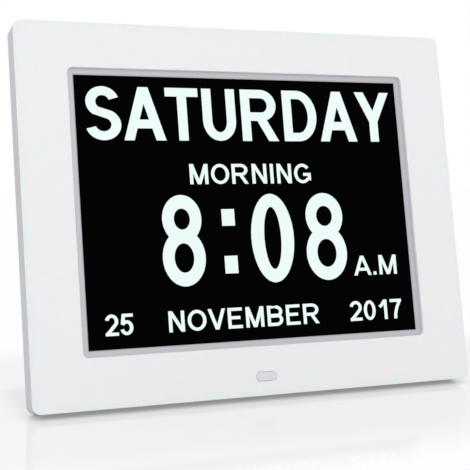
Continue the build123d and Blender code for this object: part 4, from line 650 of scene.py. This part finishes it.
# ---------------------------------------------------------------- the pieces
class DAYCLOCK_OT_case(bpy.types.Operator):
    """Finishes the white face plate, the silver-grey frame and the rear cover"""

    bl_idname = "dayclock.case"
    bl_label = "Case"

    def execute(self, context):
        colours = context.scene.clock_colours
        # White ABS from a fine-stoned mould: smooth to the eye, with a soft even shine. Light goes
        # about a millimetre into it, which keeps its thin edges bright.
        depth = {"Subsurface Weight": 0.5, "Subsurface Scale": 1.5 * MM}
        white = moulded("satin_white_abs", colours.face, 0.42, grain=0.4, relief=0.002, **depth)
        dress("white_plastic", white)
        dress("silver_plastic", painted("silver_painted_abs", colours.trim, 0.4))
        # The back is moulded in a spark-eroded mould, which leaves a dull, finely pitted skin.
        dress("cover_plastic", moulded("spark_eroded_abs", colours.back, 0.6, grain=0.7, relief=0.02))
        # Acrylic foam tape: soft, black and dull.
        foam = {"grain": 0.6, "relief": 0.03, "mottle": 0.2}
        dress("tape", moulded("acrylic_foam_tape", linear("#242426"), 0.85, **foam))
        return {"FINISHED"}


class DAYCLOCK_OT_display(bpy.types.Operator):
    """Finishes the layers of the display, from its black glass to its back plate"""

    bl_idname = "dayclock.display"
    bl_label = "Display"

    def execute(self, context):
        colours = context.scene.clock_colours
        dress("screen_glass", display_glass("coated_display_glass", colours.screen))
        dress("bezel_steel", rolled("black_painted_steel", linear("#1a1a1b"), 0.55))
        # White polycarbonate: slightly waxy, because light enters it a little.
        dress("module_plastic", moulded("white_polycarbonate", linear("#ecebe8"), 0.35, grain=1.0))
        # Diffusing films: milky polyester with a fine prism grain.
        milky = linear("#e9ebec")
        dress("film", moulded("diffusing_polyester_film", milky, 0.3, grain=0.2, relief=0.01))
        # Cast acrylic: clear and glossy, lit at its edge by the light strip.
        clear = {"IOR": 1.49, "Transmission Weight": 0.7}
        sheet = moulded("clear_cast_acrylic", linear("#f0f5f4"), 0.08, grain=4.0, relief=0.0, **clear)
        dress("acrylic", sheet)
        # Phosphor silicone over each diode is yellow; the strip itself is white film.
        yellow = linear("#e8df9a")
        dress("led_strip", moulded("phosphor_light_strip", yellow, 0.5, grain=3.0, mottle=0.12))
        return {"FINISHED"}


class DAYCLOCK_OT_reading(bpy.types.Operator):
    """Draws the lit weekday, part of the day, time and date on the front glass"""

    bl_idname = "dayclock.reading"
    bl_label = "Screen words"

    def execute(self, context):
        reading = context.scene.clock_reading
        sizes = context.scene.clock_sizes
        minute = f"{reading.minute:02d}"
        big, tall, small = sizes.weekday_height, sizes.time_height, sizes.line_height
        time_line, date_line = -37.5, -57.8
        fine = (1.65, 1.45)
        # Text, left and right end and baseline from the middle of the glass in mm, height of the
        # letters in m, and widths of upright and level strokes in mm
        lines = (
            (reading.weekday, -77.2, 78.4, 30.0, big, (4.6, 4.1)),
            (reading.day_part, -29.6, 32.0, 9.5, small, fine),
            (str(reading.hour), -45.2, -24.6, time_line, tall, (5.6, 6.3)),
            (":", -15.4, -9.0, time_line, tall, (6.4, 6.3)),
            (minute[0], -1.3, 20.5, time_line, tall, (6.6, 6.3)),
            (minute[1], 26.6, 47.9, time_line, tall, (5.6, 6.3)),
            (reading.half, 50.8, 74.4, -36.0, small, fine),
            (str(reading.day), -73.7, -60.9, date_line, small, fine),
            (reading.month, -44.4, 30.6, date_line, small, fine),
            (str(reading.year), 46.9, 75.2, date_line, small, fine),
        )
        shapes = []
        for text, left, right, baseline, height, strokes in lines:
            for start, pieces in text_shapes(text, left, right, height / MM, *strokes):
                shapes.append((pieces, (start, baseline)))
        across, up = middle("front_glass")
        surface = reach("front_glass", FACE_OUT)[1]
        place = face_matrix(across, up, surface + sizes.word_thickness)
        mesh = drawing_mesh("screen_words", shapes, sizes.word_thickness, place)
        light = lit("lit_picture_elements", context.scene.clock_colours.letters)
        place_mesh(mesh, light, "case")
        return {"FINISHED"}


class DAYCLOCK_OT_sensor(bpy.types.Operator):
    """Finishes the small window under the screen"""

    bl_idname = "dayclock.sensor"
    bl_label = "Remote sensor"

    def execute(self, context):
        # Polycarbonate that lets infrared through: polished, milky and faintly lilac.
        depth = {"Subsurface Weight": 0.15, "Subsurface Scale": 1.0 * MM}
        window = moulded("infrared_polycarbonate", linear("#dcd9e2"), 0.2, relief=0.0, **depth)
        dress("sensor_plastic", window)
        return {"FINISHED"}


class DAYCLOCK_OT_boards(bpy.types.Operator):
    """Finishes the circuit boards and what they carry, and adds the leads of the memory chips"""

    bl_idname = "dayclock.boards"
    bl_label = "Circuit boards"

    def execute(self, context):
        dress("circuit_board", board_mask("green_solder_mask", linear("#14603a")))
        # Chips are moulded of epoxy filled with silica: dull black with tiny grains.
        epoxy = moulded("black_filled_epoxy", linear("#242427"), 0.62, grain=0.3, mottle=0.1)
        dress("black_plastic", epoxy)
        # Ferrite is pressed powder, fired: grey-black, matt and slightly rough.
        powder = {"grain": 0.4, "relief": 0.02, "mottle": 0.2}
        dress("ferrite", moulded("sintered_ferrite", linear("#3a3a3d"), 0.7, **powder))
        # Drawn and plated cans shine along the way the metal was pulled.
        can = rolled("drawn_aluminium_can", linear("#dcdddf"), 0.32, streak=(0.3, 4.0))
        dress("can_aluminium", can)
        dress("can_steel", rolled("nickel_plated_steel", linear("#cfcdc8"), 0.24))
        sizes = context.scene.clock_sizes
        tinned = rolled("tinned_copper_leads", linear("#cfd0d2"), 0.3, streak=(2.0, 0.2))
        # Two chips side by side, with leads along both long sides of each
        low, high = reach("memory_chips", ACROSS)
        chip_width = 6.0 * MM
        foot, head = reach("memory_chips", UPWARD)
        up = (foot + head) / 2
        chip_length = head - foot
        back, board = reach("memory_chips", FACE_OUT)
        lead_out = (back + board) / 2
        count = int((chip_length - sizes.lead_pitch / 2) / sizes.lead_pitch)
        places = []
        for edge, away in ((low, -1), (low + chip_width, 1), (high - chip_width, -1), (high, 1)):
            for i in range(count):
                height = up + (i - (count - 1) / 2) * sizes.lead_pitch
                place = face_matrix(edge, height, lead_out, -FACE_OUT)
                # Seen from the back, the drawing's x runs to -X.
                if away > 0:
                    place = place @ Matrix.Rotation(math.pi, 4, "Z")
                places.append(place)
        # A lead is bent down until its lower side all but touches the board.
        lead = {"Run": 1.0 * MM, "Drop": board - lead_out - 0.08 * MM, "Bends": 6}
        section = {"Width": 0.4 * MM, "Thickness": 0.15 * MM}
        grow_rows("memory_leads", places, lead | section, tinned, "case")
        return {"FINISHED"}


class DAYCLOCK_OT_sockets(bpy.types.Operator):
    """Finishes the sockets on the side, and adds the pin of the power jack and the contacts"""

    bl_idname = "dayclock.sockets"
    bl_label = "Sockets"

    def execute(self, context):
        sizes = context.scene.clock_sizes
        dress("steel_sheet", zinc_plate("zinc_plated_sheet", linear("#c9cacc")))
        gold = rolled("gold_plated_contacts", linear("#e0b868"), 0.25, streak=(3.0, 0.2))
        nickel = rolled("nickel_plated_pin", linear("#d6d4cf"), 0.2, streak=(0.3, 3.0))
        # Four contacts on the tongue of the memory-stick socket, 2.3 mm apart
        start = reach("stick_socket", ACROSS)[1] - 1.6 * MM
        up = middle("stick_socket")[1]
        out = sum(reach("stick_socket", FACE_OUT)) / 2 + 0.15 * MM
        rows = [up + (i - 1.5) * 2.3 * MM for i in range(4)]
        places = [face_matrix(start, row, out, -FACE_OUT) for row in rows]
        strip = {"Run": 7.0 * MM, "Drop": 0.0, "Bends": 1}
        section = {"Width": sizes.contact_width, "Thickness": 0.1 * MM}
        grow_rows("stick_contacts", places, strip | section, gold, "case")
        # Nine sprung contacts on the board side of the card socket, 2.5 mm apart
        start = reach("card_socket", ACROSS)[1] - 16.0 * MM
        up = middle("card_socket")[1]
        out = reach("card_socket", FACE_OUT)[1] - 0.45 * MM
        rows = [up + (i - 4) * 2.5 * MM for i in range(9)]
        places = [face_matrix(start, row, out, -FACE_OUT) for row in rows]
        spring = {"Run": 7.0 * MM, "Drop": -0.7 * MM, "Bends": 8}
        section = {"Width": sizes.contact_width, "Thickness": 0.15 * MM}
        grow_rows("card_contacts", places, spring | section, gold, "case")
        # The metal sleeve on the centre pin of the power jack, rounded at its tip
        mouth = reach("power_jack", ACROSS)[1]
        up = middle("power_jack")[1]
        out = sum(reach("power_jack", FACE_OUT)) / 2
        radius, tip = 1.05 * MM, 10.0 * MM
        outline = [(radius, 0.0), (radius, tip - 0.5 * MM), (0.8 * radius, tip - 0.1 * MM), (0.0, tip)]
        along = Matrix((UPWARD, -FACE_OUT, ACROSS)).transposed().to_4x4()
        along.translation = ACROSS * (mouth - 10.9 * MM) + UPWARD * up + FACE_OUT * out
        sleeve = lathe_mesh("jack_pin_sleeve", outline, along)
        place_mesh(sleeve, nickel, "case")
        return {"FINISHED"}


class DAYCLOCK_OT_wiring(bpy.types.Operator):
    """Finishes the flat cables, the wires and their connectors"""

    bl_idname = "dayclock.wiring"
    bl_label = "Wiring"

    def execute(self, context):
        dress("flex_film", track_film("polyimide_flat_cable", linear("#b9742a")))
        # Soft vinyl insulation: smooth, with a waxy shine.
        vinyl = moulded("red_vinyl_insulation", linear("#a31f1c"), 0.4, grain=2.0, mottle=0.06)
        dress("wire_insulation", vinyl)
        # Undyed nylon: ivory, slightly see-through at its edges.
        dress("connector_plastic", moulded("ivory_nylon", linear("#e6ddc4"), 0.45, grain=1.0))
        return {"FINISHED"}


class DAYCLOCK_OT_speaker(bpy.types.Operator):
    """Finishes the speaker, and stretches a dust cloth over it behind the grille"""

    bl_idname = "dayclock.speaker"
    bl_label = "Speaker"

    def execute(self, context):
        # Pressed paper pulp: black, soft and fibrous.
        dress("cone_paper", woven("pressed_black_paper", linear("#1f1f20"), thread=0.3))
        cloth = woven("black_speaker_cloth", linear("#19191a"))
        across, up = middle("speaker_cone")
        left, right = reach("speaker_cone", ACROSS)
        radius = (right - left) / 2 + 0.4 * MM
        rim = reach("speaker_basket", FACE_OUT)[0]
        thickness, crown = 0.1 * MM, 0.02 * MM
        lower = [(0.0, -thickness), (radius, -thickness)]
        upper = [(radius, 0.0), (radius / 2, crown), (0.0, 2 * crown)]
        place = face_matrix(across, up, rim + 0.15 * MM, -FACE_OUT)
        disc = lathe_mesh("speaker_cloth", lower + upper, place)
        place_mesh(disc, cloth, "case")
        return {"FINISHED"}


class DAYCLOCK_OT_fasteners(bpy.types.Operator):
    """Finishes the screws, the hinge pin and its washers"""

    bl_idname = "dayclock.fasteners"
    bl_label = "Fasteners"

    def execute(self, context):
        # Zinc plate on a cold-headed screw: bluish grey, with fine drawn lines.
        dress("zinc_steel", rolled("zinc_plated_screws", linear("#b9bcc2"), 0.34, streak=(0.2, 1.5)))
        dress("pin_steel", rolled("ground_steel_pin", linear("#c4c4c5"), 0.22, streak=(0.15, 3.0)))
        dress("nylon", moulded("natural_nylon", linear("#e9e6dc"), 0.45, grain=1.0))
        return {"FINISHED"}


class DAYCLOCK_OT_leg(bpy.types.Operator):
    """Finishes the folding leg and its rubber foot"""

    bl_idname = "dayclock.leg"
    bl_label = "Folding leg"

    def execute(self, context):
        colours = context.scene.clock_colours
        dress("leg_plastic", moulded("leg_spark_eroded_abs", colours.back, 0.6, grain=0.7, relief=0.02))
        # Moulded rubber: charcoal, dull, with a bloom of lighter dust.
        rubber = moulded("moulded_rubber", linear("#343436"), 0.8, grain=0.5, relief=0.03, mottle=0.2)
        dress("pad_rubber", rubber)
        return {"FINISHED"}


class DAYCLOCK_OT_keys(bpy.types.Operator):
    """Finishes the seven keys and their switches, with ink on the raised mark of each key"""

    bl_idname = "dayclock.keys"
    bl_label = "Keys"

    def execute(self, context):
        colours = context.scene.clock_colours
        # The marks' tops are the farthest back; the ink ends a little below them, on their sides.
        level = -reach("power_key", FACE_OUT)[0] - 0.1 * MM
        dress("key_plastic", inked("satin_grey_abs", colours.keys, colours.marks, level))
        nylon = moulded("black_switch_nylon", linear("#29292b"), 0.5, grain=0.4, mottle=0.08)
        dress("switch_black", nylon)
        return {"FINISHED"}


# ---------------------------------------------------------------- the studio
class DAYCLOCK_OT_studio(bpy.types.Operator):
    """Sets a pale floor, plain soft light and the camera"""

    bl_idname = "dayclock.studio"
    bl_label = "Studio"

    def execute(self, context):
        scene = context.scene
        floor_mesh = bpy.data.meshes.new("studio_floor")
        grid = bmesh.new()
        bmesh.ops.create_grid(grid, x_segments=8, y_segments=8, size=3.0)
        grid.to_mesh(floor_mesh)
        grid.free()
        floor = bpy.data.objects.new("studio_floor", floor_mesh)
        scene.collection.objects.link(floor)
        floor_mesh.materials.append(self.floor_sheet())
        self.light_world(scene)
        self.add_lamp("soft_key", (-0.4, -2.0, 1.2), 2.0, 11.0)
        self.add_camera(scene)
        scene.view_settings.view_transform = "Standard"
        return {"FINISHED"}

    def floor_sheet(self):
        """Polished white acrylic: a weak mirror that is nearly pure white away from the clock."""
        material = bpy.data.materials.new("polished_white_acrylic")
        material.use_nodes = True
        tree = material.node_tree
        tree.nodes.clear()
        # Distance from the clock's footprint on the sheet
        place = add_node(tree, "ShaderNodeTexCoord").outputs["Object"]
        mirrored = add_node(tree, "ShaderNodeVectorMath", {"operation": "ABSOLUTE"}, {0: place})
        footprint = {0: mirrored.outputs[0], 1: (104.0 * MM, 28.0 * MM, 0.0)}
        beyond = add_node(tree, "ShaderNodeVectorMath", {"operation": "SUBTRACT"}, footprint)
        outside = {0: beyond.outputs[0], 1: (0.0, 0.0, 0.0)}
        clipped = add_node(tree, "ShaderNodeVectorMath", {"operation": "MAXIMUM"}, outside)
        away = add_node(tree, "ShaderNodeVectorMath", {"operation": "LENGTH"}, {0: clipped.outputs[0]})
        # The sheet whitens over the first 12 mm, and again further off, where its mirror image fades.
        distance = away.outputs["Value"]
        smooth = {"interpolation_type": "SMOOTHSTEP"}
        outer = {"Value": distance, "From Min": 60.0 * MM, "From Max": 125.0 * MM}
        polish = add_node(tree, "ShaderNodeMapRange", smooth, {**outer, "To Min": 0.8, "To Max": 0.0})
        plain = add_node(tree, "ShaderNodeMapRange", smooth, {**outer, "To Min": 0.7, "To Max": 0.95})
        inner = {"Value": distance, "From Max": 12.0 * MM, "To Min": 0.25, "To Max": plain.outputs[0]}
        fade = add_node(tree, "ShaderNodeMapRange", smooth, inner)
        # Only what the camera or a reflection sees is whitened, so the sheet lights nothing by itself.
        rays = add_node(tree, "ShaderNodeLightPath")
        either = {0: rays.outputs["Is Camera Ray"], 1: rays.outputs["Is Glossy Ray"]}
        seen = add_node(tree, "ShaderNodeMath", {"operation": "MAXIMUM"}, either)
        shares = {0: fade.outputs[0], 1: seen.outputs[0]}
        share = add_node(tree, "ShaderNodeMath", {"operation": "MULTIPLY"}, shares)
        matt = add_node(tree, "ShaderNodeBsdfDiffuse", sockets={"Color": linear("#f2f2f3") + (1.0,)})
        white = add_node(tree, "ShaderNodeEmission", sockets={"Color": (1.0, 1.0, 1.0, 1.0)})
        layers = {0: share.outputs[0], 1: matt.outputs[0], 2: white.outputs[0]}
        body = add_node(tree, "ShaderNodeMixShader", sockets=layers)
        mirror = add_node(tree, "ShaderNodeBsdfGlossy", sockets={"Roughness": 0.04})
        angle = add_node(tree, "ShaderNodeFresnel", sockets={"IOR": 1.45})
        factors = {0: angle.outputs[0], 1: polish.outputs[0]}
        glance = add_node(tree, "ShaderNodeMath", {"operation": "MULTIPLY"}, factors)
        coats = {0: glance.outputs[0], 1: body.outputs[0], 2: mirror.outputs[0]}
        polished = add_node(tree, "ShaderNodeMixShader", sockets=coats)
        add_node(tree, "ShaderNodeOutputMaterial", sockets={"Surface": polished.outputs[0]})
        return material

    def light_world(self, scene):
        """Even light from all round, and plain white where the backdrop is seen or reflected."""
        world = bpy.data.worlds.new("white_studio")
        scene.world = world
        world.use_nodes = True
        tree = world.node_tree
        tree.nodes.clear()
        rays = add_node(tree, "ShaderNodeLightPath")
        glossy = {0: rays.outputs["Is Glossy Ray"], 1: rays.outputs["Is Transmission Ray"]}
        reflected = add_node(tree, "ShaderNodeMath", {"operation": "MAXIMUM"}, glossy)
        either = {0: rays.outputs["Is Camera Ray"], 1: reflected.outputs[0]}
        seen = add_node(tree, "ShaderNodeMath", {"operation": "MAXIMUM"}, either)
        strengths = {"Value": seen.outputs[0], "To Min": 0.87, "To Max": 1.0}
        strength = add_node(tree, "ShaderNodeMapRange", sockets=strengths)
        light = {"Color": (1.0, 1.0, 1.0, 1.0), "Strength": strength.outputs[0]}
        background = add_node(tree, "ShaderNodeBackground", sockets=light)
        add_node(tree, "ShaderNodeOutputWorld", sockets={"Surface": background.outputs[0]})

    def add_lamp(self, name, place, size, power):
        """A square soft box that looks at the middle of the clock."""
        lamp = bpy.data.lights.new(name, "AREA")
        lamp.size = size
        lamp.energy = power
        holder = bpy.data.objects.new(name, lamp)
        bpy.context.scene.collection.objects.link(holder)
        aim = Vector((0.0, 0.0, 0.09)) - Vector(place)
        turn = aim.to_track_quat("-Z", "Y").to_matrix().to_4x4()
        holder.matrix_world = Matrix.Translation(place) @ turn

    def add_camera(self, scene):
        """A camera in front of the clock, to its left and a little above its middle."""
        lens = bpy.data.cameras.new("clock_camera")
        lens.sensor_width = 36.0
        lens.lens = 83.045
        camera = bpy.data.objects.new("clock_camera", lens)
        scene.collection.objects.link(camera)
        camera.location = (-0.19376, -0.48426, 0.11207)
        camera.rotation_euler = (math.radians(90 - 4.172), 0.0, math.radians(-21.518))
        scene.camera = camera


class DAYCLOCK_PT_panel(bpy.types.Panel):
    """Lists what the clock shows, its sizes, its colours and its pieces"""

    bl_idname = "DAYCLOCK_PT_panel"
    bl_label = "Day clock"
    bl_space_type = "VIEW_3D"
    bl_region_type = "UI"
    bl_category = "Day clock"

    def draw(self, context):
        scene = context.scene
        for settings in (scene.clock_reading, scene.clock_sizes, scene.clock_colours):
            box = self.layout.box()
            for name in settings.__annotations__:
                box.prop(settings, name)
        for operator in OPERATORS:
            self.layout.operator(operator.bl_idname)


OPERATORS = (
    DAYCLOCK_OT_case,
    DAYCLOCK_OT_display,
    DAYCLOCK_OT_reading,
    DAYCLOCK_OT_sensor,
    DAYCLOCK_OT_boards,
    DAYCLOCK_OT_sockets,
    DAYCLOCK_OT_wiring,
    DAYCLOCK_OT_speaker,
    DAYCLOCK_OT_fasteners,
    DAYCLOCK_OT_leg,
    DAYCLOCK_OT_keys,
    DAYCLOCK_OT_studio,
)
SETTINGS = {"clock_reading": ClockReading, "clock_sizes": ClockSizes, "clock_colours": ClockColours}


def register():
    for group in (*SETTINGS.values(), *OPERATORS, DAYCLOCK_PT_panel):
        bpy.utils.register_class(group)
    for name, group in SETTINGS.items():
        setattr(bpy.types.Scene, name, bpy.props.PointerProperty(type=group))


def unregister():
    for name in SETTINGS:
        delattr(bpy.types.Scene, name)
    for group in reversed((*SETTINGS.values(), *OPERATORS, DAYCLOCK_PT_panel)):
        bpy.utils.unregister_class(group)


def main():
    """Makes every piece in turn."""
    register()
    bpy.ops.dayclock.case()
    bpy.ops.dayclock.display()
    bpy.ops.dayclock.reading()
    bpy.ops.dayclock.sensor()
    bpy.ops.dayclock.boards()
    bpy.ops.dayclock.sockets()
    bpy.ops.dayclock.wiring()
    bpy.ops.dayclock.speaker()
    bpy.ops.dayclock.fasteners()
    bpy.ops.dayclock.leg()
    bpy.ops.dayclock.keys()
    bpy.ops.dayclock.studio()
    worn = {name: node.material_slots[0].material.name for name, node in nodes.items()}
    bare = sorted(name for name in nodes if worn[name] == slot_of[name])
    if bare:
        raise RuntimeError(f"these nodes have no finish: {bare}")


if __name__ == "__main__":
    main()
